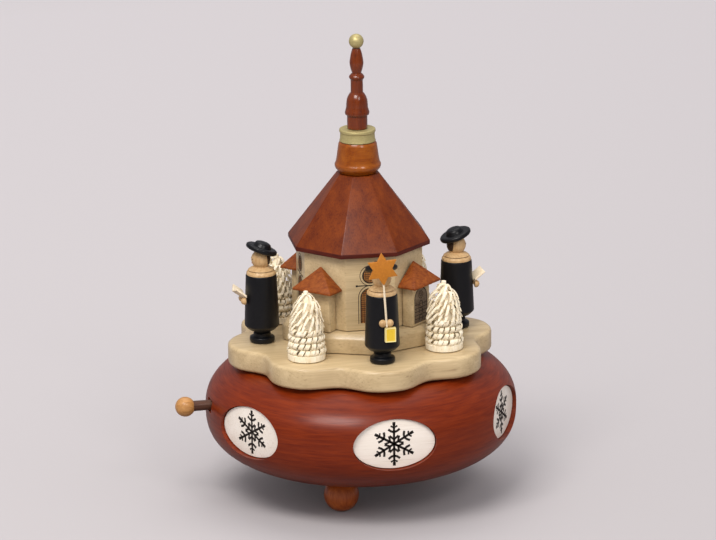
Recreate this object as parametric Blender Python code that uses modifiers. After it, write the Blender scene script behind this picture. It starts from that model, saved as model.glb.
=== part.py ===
"""Wooden music box: a turned bowl on three ball feet, and on it a turning plate with a
church, carol singers and trees, driven by a comb movement inside the bowl.

Metres, +Z up, standing on z = 0. An azimuth is measured from -Y, the front, towards +X.
The turning axis stands at x = AXIS_X, so that the box round the whole object, the lever
included, is centred on the origin.
"""

import math

import bmesh
import bpy
from mathutils import Matrix, Vector

MM = 0.001
MERGE = 0.00001
GAP = 0.3 * MM  # between two pieces that are glued together or rest on each other

BOWL_STEPS = 42
ROUND_STEPS = 24
SMALL_STEPS = 14

# Ball feet, pegged into the underside of the bowl
FOOT_RADIUS = 7.3 * MM
FOOT_FLAT = 0.15 * MM  # height taken off the ball where it stands
FOOT_HEIGHT = 13.2 * MM
FOOT_CIRCLE = 28.7 * MM
FOOT_AZIMUTHS = {"foot_front": -30, "foot_right": 112, "foot_back": 188}
FOOT_PEG_RADIUS = 2.2 * MM
FOOT_PEG_LENGTH = 4.5 * MM

# Turned bowl
BOWL_RADIUS = 65 * MM
BOWL_HALF_HEIGHT = 27 * MM
BOWL_POWER = 2.42  # 2 would be an ellipse, and more is squarer
KEEL_POWER = 2.65  # the same below the widest line
BOWL_BELLY = 24.9 * MM  # widest line above the underside
BOWL_HEIGHT = 44.5 * MM
WALL = 7 * MM
SHOULDER_THICK = 4 * MM
KEEL_THICK = 4.5 * MM
FLOOR_THICK = 7.5 * MM
CAVITY_POWER = 3
LIP_RADIUS = 38 * MM
COVER_RADIUS = 41.5 * MM
COVER_THICK = 3 * MM

# Flat oval inlays let into the side of the bowl
OVAL_COUNT = 6
OVAL_WIDTH = 34.4 * MM
OVAL_HEIGHT = 20.8 * MM
OVAL_THICK = 1.2 * MM
OVAL_INSET = 4 * MM  # face of the inlay inside the bowl's widest line
OVAL_RISE = 0.6 * MM  # middle of the inlay above that line

# Start and stop lever
LEVER_ABOVE_BELLY = 4.1 * MM
LEVER_REACH = 74.8 * MM  # from the turning axis to the middle of the knob
LEVER_ROD_RADIUS = 2.2 * MM
LEVER_KNOB_RADIUS = 4.15 * MM
LEVER_KNOB_HOLE = 3 * MM
LEVER_WIRE_RADIUS = 0.6 * MM
LEVER_ROD_INSIDE = 8.5 * MM  # thick part of the rod inwards of its pin
LEVER_PIN_DEPTH = 4.5 * MM  # middle of the pin below the outside of the bowl
LEVER_PIN_RADIUS = 0.8 * MM
LEVER_PIN_BITE = 4 * MM  # how far the pin enters the wood above and below the slot
LEVER_WIRE_CLEARANCE = 0.5 * MM  # between the wire's end and the turning fan
LEVER_SWING = 15  # degrees each way

# Comb movement: u runs from the turning axis along the pinned cylinder, v across it
BEDPLATE_BACK = 19 * MM
BEDPLATE_FRONT = 41 * MM
BEDPLATE_HALF_WIDTH = 19 * MM
BEDPLATE_CORNER_RADIUS = 42.3 * MM
BEDPLATE_THICK = 2.2 * MM
POST_THICK = 1.4 * MM
POST_ABOVE_SHAFT = 2.5 * MM
POST_HALF_WIDTH = 3 * MM

KEY_SHAFT_RADIUS = 1.8 * MM
KEY_WING_RADIUS = 4.5 * MM
KEY_WING_OFFSET = 6 * MM
KEY_WING_THICK = 1.8 * MM
KEY_HUB_RADIUS = 2.6 * MM
KEY_CLEARANCE = 1 * MM  # under the bowl, and above what the feet stand on

BARREL_RADIUS = 10.6 * MM
BARREL_HEIGHT = 14 * MM
BARREL_WALL = 1.3 * MM
BARREL_LIFT = 0.5 * MM
CROWN_RADIUS = 12.5 * MM  # pitch circle of the crown teeth
CROWN_WIDTH = 3 * MM
CROWN_THICK = 2 * MM
CROWN_TEETH = 24
TOOTH_HEIGHT = 1.6 * MM
TOOTH_THICK = 0.95 * MM
SPINDLE_RADIUS = 2.5 * MM
SPINDLE_SHOULDER = 4.5 * MM
SPINDLE_IN_PLATE = 5 * MM

SPRING_THICK = 0.35 * MM
SPRING_TURNS = 4.5
SPRING_END_SPACE = 1.2 * MM

PINION_TEETH = 8
PINION_WIDTH = 1.4 * MM
CYLINDER_RADIUS = 6.2 * MM
CYLINDER_LENGTH = 15.6 * MM
CYLINDER_ROWS = 12
CYLINDER_SIDES = 20
PIN_HEIGHT = 0.6 * MM
PIN_INSET = 0.3 * MM
SHAFT_RADIUS = 0.8 * MM
RUNNING_GAP = 0.6 * MM  # along a shaft, between what turns and what holds it

DRIVE_TEETH = 24
GOVERNOR_PINION_TEETH = 8
DRIVE_GEAR_RADIUS = 7.8 * MM
GEAR_WIDTH = 1.2 * MM
GEAR_TOOTH_HEIGHT = 0.9 * MM
GEAR_TOOTH_THICK = 0.6 * MM
GOVERNOR_DROP = 7.2 * MM  # governor shaft below the cylinder's
WORM_WHEEL_RADIUS = 5.8 * MM
WORM_WHEEL_TEETH = 16
WORM_RADIUS = 1.4 * MM
WORM_LENGTH = 7 * MM
FAN_RADIUS = 5 * MM
FAN_HEIGHT = 4.6 * MM
FAN_VANE_THICK = 0.5 * MM
FRAME_THICK = 1.2 * MM
FRAME_WIDTH = 3.6 * MM
FRAME_HEADROOM = 1.8 * MM  # above the fan
BEARING_HALF_WIDTH = 2.5 * MM

COMB_THICK = 1 * MM
COMB_TEETH = 12
COMB_SLIT = 0.4 * MM
COMB_TOOTH_LENGTH = 6 * MM
COMB_ROOT_LENGTH = 6 * MM
COMB_TIP_GAP = 0.4 * MM

# Turning plate with eight lobes
PLATE_LIFT = 1.05 * MM  # above the bowl
PLATE_THICK = 9.15 * MM
PLATE_RADIUS = 52.9 * MM
PLATE_WAVE = 3.4 * MM
PLATE_LOBE_WIDENING = 0.5 * MM
PLATE_LOBES = 8
PLATE_OUTLINE_POINTS = 72
PLATE_EDGE = 1.6 * MM

# Church
CHURCH_TURN = -2.2  # degrees against the lobes of the plate
ROOF_TURN = -4  # the roof is set a little askew on the walls
PLINTH_RADIUS = 32.9 * MM
PLINTH_HEIGHT = 8.3 * MM
PLINTH_BEVEL_HEIGHT = 2.2 * MM
PLINTH_BEVEL_DEPTH = 1.8 * MM
NAVE_APOTHEM = 24.8 * MM
NAVE_HEIGHT = 31.4 * MM
ROOF_RADIUS = 30.3 * MM
ROOF_TOP_RADIUS = 9 * MM
ROOF_RIM = 1.7 * MM
ROOF_HEIGHT = 29.3 * MM
CHURCH_SIDES = 8

ANNEX_WIDTH = 12.6 * MM
ANNEX_DEPTH = 4.9 * MM
ANNEX_HEIGHT = 16.6 * MM
ANNEX_ROOF_WIDTH = 19 * MM
ANNEX_ROOF_DEPTH = 8.5 * MM
ANNEX_ROOF_RIM = 0.9 * MM
ANNEX_ROOF_HEIGHT = 9.8 * MM
ANNEX_PEAK_OUT = 1.2 * MM  # peak of an annex roof in front of the wall behind it
ANNEX_SHIFTS = (1 * MM, 0, 0, -0.9 * MM)  # each along its wall, seen from outside

# Tower on the roof: collar, band, spire and ball
COLLAR_HEIGHT = 13 * MM
COLLAR_FOOT_RADIUS = 7.6 * MM
COLLAR_FLARE_RADIUS = 9.6 * MM
COLLAR_TOP_RADIUS = 7.95 * MM
BAND_RADIUS = 7.5 * MM
BAND_HEIGHT = 5 * MM
SPIRE_RADIUS = 5.05 * MM
SPIRE_HEIGHT = 33.6 * MM
# Outline from the tip down: shares of the radius and of the height
SPIRE_TIP = ((0.32, 0), (0.44, 0.06), (0.55, 0.152), (0.56, 0.202), (0.46, 0.268), (0.37, 0.307))
SPIRE_RING = ((0.51, 0.33), (0.63, 0.36), (0.51, 0.39), (0.5, 0.408))
SPIRE_BELL = ((0.5, 0.554), (0.72, 0.6), (0.86, 0.667), (0.9, 0.732), (1, 0.798), (0.96, 0.827))
SPIRE_COLUMN = ((0.83, 0.84), (0.83, 1))
TOWER_BALL_RADIUS = 3.05 * MM
TOWER_BALL_FLAT = 0.35 * MM

# Carol singers
SINGER_CIRCLE = 41.6 * MM
COAT_HEM_RADIUS = 7.25 * MM
COAT_SHOULDER_RADIUS = 6.5 * MM
COAT_FOOT_RADIUS = 5.2 * MM
COAT_NECK_RADIUS = 3.6 * MM
COAT_HEM_HEIGHT = 7.1 * MM
COAT_HEM_ROUNDING = 2.3 * MM
COAT_FOOT_HEIGHT = 2.1 * MM
COAT_EDGE = 0.5 * MM
COAT_HEIGHT = 30.6 * MM
COLLARETTE_RADIUS = 5.4 * MM
COLLARETTE_HEIGHT = 1.5 * MM
HEAD_RADIUS = 4 * MM
HEAD_ABOVE_COAT = 4.7 * MM
HAT_SEAT = 2.7 * MM  # above the middle of the head
HAT_FORWARD = 1.1 * MM
HAT_TILT = 17  # degrees, front up
HAT_BRIM_RADIUS = 6.7 * MM
HAT_BRIM_THICK = 2.2 * MM
HAT_CROWN_RADIUS = 3.7 * MM
HAT_CROWN_HEIGHT = 2.1 * MM
HAND_RADIUS = 1.55 * MM
HAND_HEIGHT = 18.4 * MM
HAND_REACH = 7.7 * MM
BOOK_HAND_SPREAD = 2.3 * MM
BOOK_LEAF_WIDTH = 4.6 * MM
BOOK_LEAF_LENGTH = 6 * MM
BOOK_LEAF_THICK = 0.8 * MM
BOOK_TILT = 38
BOOK_OPENING = 22
BOOK_GRIP = 0.35 * MM  # how far each hand reaches into its leaf

# What the star bearer holds
STAR_HAND_SPREAD = 1.5 * MM
STAR_POLE_RADIUS = 0.45 * MM
STAR_HEIGHT = 41.5 * MM
STAR_LEAN = 3.5  # degrees to the left, seen from the front
STAR_POINTS = 6
STAR_RADIUS = 6.9 * MM
STAR_INNER_RADIUS = 4 * MM
STAR_THICK = 1.2 * MM
LANTERN_WIDTH = 4.4 * MM
LANTERN_DEPTH = 1.8 * MM
LANTERN_HEIGHT = 5.9 * MM

# Shaved trees
TREE_CIRCLE = 41.1 * MM
TREE_BASE_RADIUS = 7.75 * MM
TREE_BASE_HEIGHT = 2.5 * MM
TREE_TIERS = 9
TREE_TIER_HEIGHT = 2.75 * MM
TREE_LOW_RADIUS = 7.9 * MM
TREE_TOP_RADIUS = 3.6 * MM
TREE_FULLNESS = 0.3  # 1 would be a straight cone, and less is fuller
TREE_CORE_SHARE = 0.8  # how far in each tier draws above the one below it
TREE_PIN_RADIUS = 1 * MM
TREE_PIN_LENGTH = 1.4 * MM

# Heights and places that follow from the sizes above
AXIS_X = (LEVER_REACH + LEVER_KNOB_RADIUS - BOWL_RADIUS) / 2
UNDERSIDE_Z = FOOT_HEIGHT + GAP
BELLY_Z = UNDERSIDE_Z + BOWL_BELLY
BOWL_TOP_Z = UNDERSIDE_Z + BOWL_HEIGHT
FLOOR_Z = UNDERSIDE_Z + FLOOR_THICK
CAVITY_RADIUS = BOWL_RADIUS - WALL
CAVITY_UP = BOWL_TOP_Z - BELLY_Z - SHOULDER_THICK
CAVITY_DOWN = BOWL_BELLY - KEEL_THICK
LEVER_Z = BELLY_Z + LEVER_ABOVE_BELLY
LEVER_PIN_X = BOWL_RADIUS - LEVER_PIN_DEPTH
OVAL_FACE = BOWL_RADIUS - OVAL_INSET

BEDPLATE_Z = FLOOR_Z + GAP
BEDPLATE_TOP_Z = BEDPLATE_Z + BEDPLATE_THICK
BARREL_Z = BEDPLATE_TOP_Z + BARREL_LIFT
CROWN_Z = BARREL_Z + BARREL_HEIGHT
PINION_RADIUS = CROWN_RADIUS * PINION_TEETH / CROWN_TEETH
SHAFT_Z = CROWN_Z + TOOTH_HEIGHT * 0.55 + PINION_RADIUS
NEAR_POST_U = CROWN_RADIUS + CROWN_WIDTH / 2 + RUNNING_GAP
CYLINDER_U = NEAR_POST_U + POST_THICK + RUNNING_GAP
FAR_POST_U = CYLINDER_U + CYLINDER_LENGTH + RUNNING_GAP
GEAR_U = FAR_POST_U + POST_THICK + RUNNING_GAP
GOVERNOR_PINION_RADIUS = DRIVE_GEAR_RADIUS * GOVERNOR_PINION_TEETH / DRIVE_TEETH
GOVERNOR_V = math.sqrt((DRIVE_GEAR_RADIUS + GOVERNOR_PINION_RADIUS) ** 2 - GOVERNOR_DROP**2)
GOVERNOR_Z = SHAFT_Z - GOVERNOR_DROP
WORM_WHEEL_U = GEAR_U + GEAR_WIDTH + RUNNING_GAP
FAN_U = WORM_WHEEL_U + GEAR_WIDTH / 2
FAN_V = GOVERNOR_V + WORM_WHEEL_RADIUS + WORM_RADIUS + GAP
FAN_Z = GOVERNOR_Z + WORM_WHEEL_RADIUS + RUNNING_GAP
FRAME_Z = BEDPLATE_TOP_Z + GAP
FRAME_TOP_Z = FAN_Z + FAN_HEIGHT + FRAME_HEADROOM
FRAME_WALL_V = FAN_V + FAN_RADIUS + RUNNING_GAP
MOVEMENT_TURN = math.pi - math.atan2(FAN_V, FAN_U)  # brings the fan in front of the lever
LEVER_WIRE_END = LEVER_PIN_X - math.hypot(FAN_U, FAN_V) - FAN_RADIUS - LEVER_WIRE_CLEARANCE

PLATE_Z = BOWL_TOP_Z + PLATE_LIFT
PLATE_TOP_Z = PLATE_Z + PLATE_THICK
STAND_Z = PLATE_TOP_Z + GAP
NAVE_Z = STAND_Z + PLINTH_HEIGHT + GAP
ROOF_Z = NAVE_Z + NAVE_HEIGHT + GAP
COLLAR_Z = ROOF_Z + ROOF_HEIGHT + GAP
BAND_Z = COLLAR_Z + COLLAR_HEIGHT + GAP
SPIRE_Z = BAND_Z + BAND_HEIGHT + GAP
TOWER_BALL_Z = SPIRE_Z + SPIRE_HEIGHT + GAP


def new_collection(name):
    made = bpy.data.collections.new(name)
    bpy.context.scene.collection.children.link(made)
    return made


for old in list(bpy.data.objects):
    bpy.data.objects.remove(old, do_unlink=True)
PARTS = new_collection("music_box")
CUTTERS = new_collection("cutters")


def material(name, hex_colour, roughness, metallic=0.0):
    """A plain finish whose colour is given as it looks on a screen."""
    made = bpy.data.materials.new(name)
    made.use_nodes = True
    shader = made.node_tree.nodes["Principled BSDF"]
    parts = [int(hex_colour[i : i + 2], 16) / 255 for i in (0, 2, 4)]
    linear = [p / 12.92 if p <= 0.04045 else ((p + 0.055) / 1.055) ** 2.4 for p in parts]
    shader.inputs["Base Color"].default_value = (*linear, 1)
    shader.inputs["Roughness"].default_value = roughness
    shader.inputs["Metallic"].default_value = metallic
    return made


MAHOGANY = material("stained_mahogany", "7a3018", 0.3)
ROOF_STAIN = material("stained_roof_wood", "8b4a1c", 0.35)
ANNEX_STAIN = material("red_stained_wood", "a0522d", 0.4)
FOOT_STAIN = material("foot_wood", "9c4a1c", 0.3)
MAPLE = material("pale_maple", "dcc9a4", 0.5)
INLAY = material("white_inlay_wood", "efe8d8", 0.5)
PLYWOOD = material("cover_plywood", "c8ab7c", 0.6)
SHAVINGS = material("shaved_lime_wood", "efe3c4", 0.6)
BLACK = material("black_lacquer", "14151a", 0.35)
SKIN_WOOD = material("natural_wood", "e2bf8c", 0.45)
ROD_WOOD = material("dark_rod_wood", "4a3428", 0.5)
KNOB_WOOD = material("knob_wood", "d9a066", 0.45)
GOLD = material("gold_paint", "b8ad6a", 0.4, 0.6)
STAR_PAINT = material("orange_paint", "e08a1e", 0.45)
LANTERN_PAINT = material("yellow_paint", "e8c32c", 0.45)
PAPER = material("booklet_wood", "e9dcbc", 0.6)
STEEL = material("steel", "9a9da3", 0.3, 1.0)
BRASS = material("brass", "b5a05a", 0.3, 1.0)
ZINC = material("cast_zinc", "8e8f93", 0.5, 1.0)


def finish(mesh):
    """Smooth shading that keeps the edges a turner or a joiner would leave crisp."""
    mesh.shade_smooth()
    mesh.set_sharp_from_angle(angle=math.radians(35))


def place(obj, finish_material=None, parent=None):
    PARTS.objects.link(obj)
    obj.parent = parent
    if finish_material:
        obj.data.materials.append(finish_material)
    return obj


def hide(obj, parent=None):
    """A cutter, or a shape that a Boolean joins to a part."""
    CUTTERS.objects.link(obj)
    obj.parent = parent
    obj.hide_render = True
    obj.display_type = "WIRE"
    return obj


def combine(target, other, operation, solver="EXACT"):
    """MANIFOLD is for toothed wheels, whose many-sided faces the exact solver leaves open."""
    joint = target.modifiers.new(operation.title(), "BOOLEAN")
    joint.operation = operation
    joint.solver = solver
    joint.object = other


def from_bmesh(name, shape, matrix=None):
    if matrix:
        shape.transform(matrix)
    bmesh.ops.remove_doubles(shape, verts=shape.verts, dist=MERGE)
    bmesh.ops.recalc_face_normals(shape, faces=shape.faces)
    mesh = bpy.data.meshes.new(name)
    shape.to_mesh(mesh)
    shape.free()
    finish(mesh)
    return bpy.data.objects.new(name, mesh)


def solid_from(guide, matrix=None):
    """The evaluated guide as a mesh object of its own, in the guide's place."""
    name = guide.name
    bpy.context.scene.collection.objects.link(guide)
    graph = bpy.context.evaluated_depsgraph_get()
    mesh = bpy.data.meshes.new_from_object(guide.evaluated_get(graph))
    shape = bmesh.new()
    shape.from_mesh(mesh)
    bpy.data.meshes.remove(mesh)
    data = guide.data
    bpy.data.objects.remove(guide)
    (bpy.data.meshes if isinstance(data, bpy.types.Mesh) else bpy.data.curves).remove(data)
    return from_bmesh(name, shape, matrix)


def turned(name, profile, steps=SMALL_STEPS, matrix=None):
    """A turned piece. The profile lists (radius, height) from the top down the outside.
    One that starts and ends off the axis is closed into a ring."""
    mesh = bpy.data.meshes.new(name)
    edges = [(i, i + 1) for i in range(len(profile) - 1)]
    if profile[0][0] > 0:
        edges.append((len(profile) - 1, 0))
    mesh.from_pydata([(r, 0, z) for r, z in profile], edges, [])
    guide = bpy.data.objects.new(name, mesh)
    screw = guide.modifiers.new("Turning", "SCREW")
    screw.axis = "Z"
    screw.steps = screw.render_steps = steps
    screw.use_merge_vertices = True
    screw.merge_threshold = MERGE
    return solid_from(guide, matrix)


def rod(name, radius, low, high, steps=SMALL_STEPS, matrix=None):
    return turned(name, [(0, high), (radius, high), (radius, low), (0, low)], steps, matrix)


def sawn(name, outline, thickness, edge=0.0, matrix=None):
    """A flat piece sawn to an outline in XY, its middle at z = 0, its edges eased."""
    curve = bpy.data.curves.new(name, "CURVE")
    curve.dimensions = "2D"
    curve.fill_mode = "BOTH"
    curve.extrude = thickness / 2 - edge
    curve.bevel_depth = edge
    curve.bevel_resolution = 1
    curve.offset = -edge
    spline = curve.splines.new("POLY")
    spline.points.add(len(outline) - 1)
    for point, (x, y) in zip(spline.points, outline):
        point.co = (x, y, 0, 1)
    spline.use_cyclic_u = True
    return solid_from(bpy.data.objects.new(name, curve), matrix)


def block(name, low, high):
    """A plain block between two corners."""
    shape = bmesh.new()
    bmesh.ops.create_cube(shape, size=1)
    low, high = Vector(low), Vector(high)
    size = Matrix.Diagonal((high - low).to_4d())
    return from_bmesh(name, shape, Matrix.Translation((low + high) / 2) @ size)


def empty(name, location=(0, 0, 0), turn=0.0, parent=None):
    made = bpy.data.objects.new(name, None)
    made.empty_display_size = 5 * MM
    made.location = location
    made.rotation_euler.z = turn
    made.parent = parent
    PARTS.objects.link(made)
    return made


def station(name, radius, azimuth, height, parent):
    """A place on a circle round the axis. Its own -Y looks outwards."""
    turn = math.radians(azimuth)
    return empty(name, (radius * math.sin(turn), -radius * math.cos(turn), height), turn, parent)


def along_u(u, v, z):
    """Lays a shape made along +Z along u instead, starting at this point."""
    return Matrix.Translation((u, v, z)) @ Matrix.Rotation(math.pi / 2, 4, "Y")


AXIS = empty("turning_axis", (AXIS_X, 0, 0))
TURNTABLE = empty("turntable_axis", (0, 0, 0), 0, AXIS)
MOVEMENT = empty("movement_axis", (0, 0, 0), MOVEMENT_TURN, AXIS)


def rounded_side(radius, half_height, power, start, end, count):
    """(radius, height) points on a rounded side, between two shares of its half height."""
    angles = [math.copysign(math.asin(abs(s) ** (power / 2)), s) for s in (start, end)]
    points = []
    for i in range(count + 1):
        angle = angles[0] + (angles[1] - angles[0]) * i / count
        height = math.copysign(abs(math.sin(angle)) ** (2 / power), angle) * half_height
        points.append((radius * math.cos(angle) ** (2 / power), height))
    return points


def cavity_height(radius):
    """Height of the cavity's upper wall above the belly, at a radius."""
    return CAVITY_UP * (1 - (radius / CAVITY_RADIUS) ** CAVITY_POWER) ** (1 / CAVITY_POWER)


def bowl_profile():
    top = (BOWL_TOP_Z - BELLY_Z) / BOWL_HALF_HEIGHT
    bottom = -BOWL_BELLY / BOWL_HALF_HEIGHT
    shoulder = rounded_side(BOWL_RADIUS, BOWL_HALF_HEIGHT, BOWL_POWER, top, 0, 5)
    keel = rounded_side(BOWL_RADIUS, BOWL_HALF_HEIGHT, KEEL_POWER, 0, bottom, 7)
    floor = -(BELLY_Z - FLOOR_Z) / CAVITY_DOWN
    lip = cavity_height(LIP_RADIUS)
    lower = rounded_side(CAVITY_RADIUS, CAVITY_DOWN, CAVITY_POWER, floor, 0, 3)
    upper = rounded_side(CAVITY_RADIUS, CAVITY_UP, CAVITY_POWER, 0, lip / CAVITY_UP, 3)
    rebate = BOWL_TOP_Z - COVER_THICK - GAP
    profile = [(r, BELLY_Z + z) for r, z in shoulder + keel[1:]]
    profile += [(KEY_SHAFT_RADIUS + GAP, UNDERSIDE_Z), (KEY_SHAFT_RADIUS + GAP, FLOOR_Z)]
    profile += [(r, BELLY_Z + z) for r, z in lower + upper[1:]]
    profile += [(LIP_RADIUS, rebate), (COVER_RADIUS + GAP, rebate)]
    profile += [(COVER_RADIUS + GAP, BOWL_TOP_Z)]
    return profile


def ellipse(width, height, count=ROUND_STEPS + 4):
    turns = [math.tau * i / count for i in range(count)]
    return [(width / 2 * math.cos(t), height / 2 * math.sin(t)) for t in turns]


def upright_oval(name, width, height, inner, outer):
    """An oval slab standing across -Y, between two distances from the axis."""
    lift = Matrix.Translation((0, -(inner + outer) / 2, BELLY_Z + OVAL_RISE))
    stand = lift @ Matrix.Rotation(math.pi / 2, 4, "X")
    return sawn(name, ellipse(width, height), outer - inner, 0, stand)


def build_bowl():
    bowl = place(turned("body_bowl", bowl_profile(), BOWL_STEPS), MAHOGANY, AXIS)
    for i in range(OVAL_COUNT):
        turn = math.tau * i / OVAL_COUNT
        pocket = upright_oval(
            f"oval_pocket_{i + 1}",
            OVAL_WIDTH + 2 * GAP,
            OVAL_HEIGHT + 2 * GAP,
            OVAL_FACE - OVAL_THICK - GAP,
            BOWL_RADIUS + 5 * MM,
        )
        hide(pocket, AXIS).rotation_euler.z = turn
        combine(bowl, pocket, "DIFFERENCE")
        inlay = upright_oval(
            f"oval_inlay_{i + 1}", OVAL_WIDTH, OVAL_HEIGHT, OVAL_FACE - OVAL_THICK, OVAL_FACE
        )
        place(inlay, INLAY, AXIS).rotation_euler.z = turn
    swing = math.radians(LEVER_SWING)
    slot_half = LEVER_ROD_RADIUS / math.cos(swing) + LEVER_PIN_DEPTH * math.sin(swing) + 2 * GAP
    slot_low = LEVER_Z - LEVER_ROD_RADIUS - GAP
    slot_high = LEVER_Z + LEVER_ROD_RADIUS + GAP
    outside = -BOWL_RADIUS - 5 * MM
    slot = block(
        "lever_slot", (outside, -slot_half, slot_low), (-CAVITY_RADIUS + 8 * MM, slot_half, slot_high)
    )
    combine(bowl, hide(slot, AXIS), "DIFFERENCE")
    pin_low = slot_low - LEVER_PIN_BITE
    pin_high = slot_high + LEVER_PIN_BITE
    pin_hole = rod("lever_pin_hole", LEVER_PIN_RADIUS + GAP, pin_low - GAP, pin_high + GAP, 10)
    hide(pin_hole, AXIS).location.x = -LEVER_PIN_X
    combine(bowl, pin_hole, "DIFFERENCE")
    pin = rod("lever_pin", LEVER_PIN_RADIUS, pin_low, pin_high, 10)
    place(pin, STEEL, AXIS).location.x = -LEVER_PIN_X
    for name, azimuth in FOOT_AZIMUTHS.items():
        build_foot(bowl, name, azimuth)
    hole = SPINDLE_RADIUS + GAP
    cover_low = BOWL_TOP_Z - COVER_THICK
    cover = [(hole, BOWL_TOP_Z), (COVER_RADIUS, BOWL_TOP_Z)]
    cover += [(COVER_RADIUS, cover_low), (hole, cover_low)]
    place(turned("top_cover", cover, 32), PLYWOOD, AXIS)


def build_foot(bowl, name, azimuth):
    centre = FOOT_RADIUS - FOOT_FLAT
    top, low = math.asin((FOOT_HEIGHT - centre) / FOOT_RADIUS), -math.asin(centre / FOOT_RADIUS)
    profile = [(0, FOOT_HEIGHT + FOOT_PEG_LENGTH)]
    profile += [(FOOT_PEG_RADIUS, FOOT_HEIGHT + FOOT_PEG_LENGTH), (FOOT_PEG_RADIUS, FOOT_HEIGHT)]
    for i in range(9):
        angle = top + (low - top) * i / 8
        profile.append((FOOT_RADIUS * math.cos(angle), centre + FOOT_RADIUS * math.sin(angle)))
    profile.append((0, 0))
    spot = station(f"{name}_place", FOOT_CIRCLE, azimuth, 0, AXIS)
    place(turned(name, profile, 18), FOOT_STAIN, spot)
    hole_top = FOOT_HEIGHT + FOOT_PEG_LENGTH + GAP
    hole = rod(f"{name}_hole", FOOT_PEG_RADIUS + GAP, UNDERSIDE_Z - 2 * MM, hole_top)
    combine(bowl, hide(hole, spot), "DIFFERENCE")


def build_lever():
    pivot = empty("lever_pivot", (-LEVER_PIN_X, 0, LEVER_Z), 0, AXIS)
    knob = LEVER_PIN_X - LEVER_REACH
    rod_out = knob + LEVER_KNOB_RADIUS - LEVER_KNOB_HOLE + GAP
    profile = [(0, LEVER_WIRE_END), (LEVER_WIRE_RADIUS, LEVER_WIRE_END)]
    profile += [(LEVER_WIRE_RADIUS, LEVER_ROD_INSIDE), (LEVER_ROD_RADIUS, LEVER_ROD_INSIDE)]
    profile += [(LEVER_ROD_RADIUS, rod_out), (0, rod_out)]
    lever = place(turned("lever_rod", profile, SMALL_STEPS, along_u(0, 0, 0)), ROD_WOOD, pivot)
    eye = rod("lever_eye", LEVER_PIN_RADIUS + GAP, -2 * LEVER_ROD_RADIUS, 2 * LEVER_ROD_RADIUS, 10)
    combine(lever, hide(eye, pivot), "DIFFERENCE")
    ball = []
    for i in range(11):
        angle = math.pi / 2 - math.pi * i / 10
        ball.append((LEVER_KNOB_RADIUS * math.cos(angle), LEVER_KNOB_RADIUS * math.sin(angle)))
    ball[0], ball[-1] = (0, LEVER_KNOB_RADIUS), (0, -LEVER_KNOB_RADIUS)
    handle = place(turned("lever_knob", ball, 18, along_u(knob, 0, 0)), KNOB_WOOD, pivot)
    lying = along_u(knob + LEVER_KNOB_RADIUS - LEVER_KNOB_HOLE, 0, 0)
    socket = rod("lever_socket", LEVER_ROD_RADIUS + GAP, 0, 2 * LEVER_KNOB_RADIUS, 14, lying)
    combine(handle, hide(socket, pivot), "DIFFERENCE")


def build_bedplate():
    low, top, half = BEDPLATE_Z, BEDPLATE_TOP_Z, BEDPLATE_HALF_WIDTH
    slab = block("movement_bedplate", (-BEDPLATE_BACK, -half, low), (BEDPLATE_FRONT, half, top))
    bed = place(slab, ZINC, MOVEMENT)
    past = BEDPLATE_THICK
    corners = rod("bedplate_corners", BEDPLATE_CORNER_RADIUS, low - past, top + past, 32)
    combine(bed, hide(corners, MOVEMENT), "INTERSECT")
    post_low, post_high = top - BEDPLATE_THICK / 2, SHAFT_Z + POST_ABOVE_SHAFT
    side = POST_HALF_WIDTH
    near = block(
        "near_post", (NEAR_POST_U, -side, post_low), (NEAR_POST_U + POST_THICK, side, post_high)
    )
    far = block(
        "far_post",
        (FAR_POST_U, -side, post_low),
        (FAR_POST_U + POST_THICK, GOVERNOR_V + side, post_high),
    )
    comb_root = comb_tip_v() - COMB_TOOTH_LENGTH
    comb_seat = block(
        "comb_seat",
        (CYLINDER_U, comb_root - COMB_ROOT_LENGTH, post_low),
        (CYLINDER_U + CYLINDER_LENGTH, comb_root, SHAFT_Z - COMB_THICK / 2 - GAP),
    )
    for piece in (near, far, comb_seat):
        combine(bed, hide(piece, MOVEMENT), "UNION")
    key_bore = rod("key_bore", KEY_SHAFT_RADIUS + GAP, low - past, top + past)
    combine(bed, hide(key_bore, MOVEMENT), "DIFFERENCE")
    shafts = {
        "cylinder_bore": along_u(NEAR_POST_U - POST_THICK, 0, SHAFT_Z),
        "governor_bore": along_u(FAR_POST_U - POST_THICK, GOVERNOR_V, GOVERNOR_Z),
    }
    for name, lying in shafts.items():
        bore = rod(name, SHAFT_RADIUS + GAP, 0, BEDPLATE_FRONT, 10, lying)
        combine(bed, hide(bore, MOVEMENT), "DIFFERENCE")


def comb_tip_v():
    return -(CYLINDER_RADIUS + PIN_HEIGHT + COMB_TIP_GAP)


def build_comb():
    tip = comb_tip_v()
    root = tip - COMB_TOOTH_LENGTH
    pitch = (CYLINDER_LENGTH + COMB_SLIT) / COMB_TEETH
    back = root - COMB_ROOT_LENGTH
    outline = [(CYLINDER_U + CYLINDER_LENGTH, back), (CYLINDER_U, back)]
    for i in range(COMB_TEETH):
        left = CYLINDER_U + i * pitch
        right = left + pitch - COMB_SLIT
        if i:
            outline.append((left, root))
        outline += [(left, tip), (right, tip)]
        if i < COMB_TEETH - 1:
            outline.append((right, root))
    lift = Matrix.Translation((0, 0, SHAFT_Z))
    place(sawn("tone_comb", outline, COMB_THICK, 0, lift), STEEL, MOVEMENT)


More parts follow.
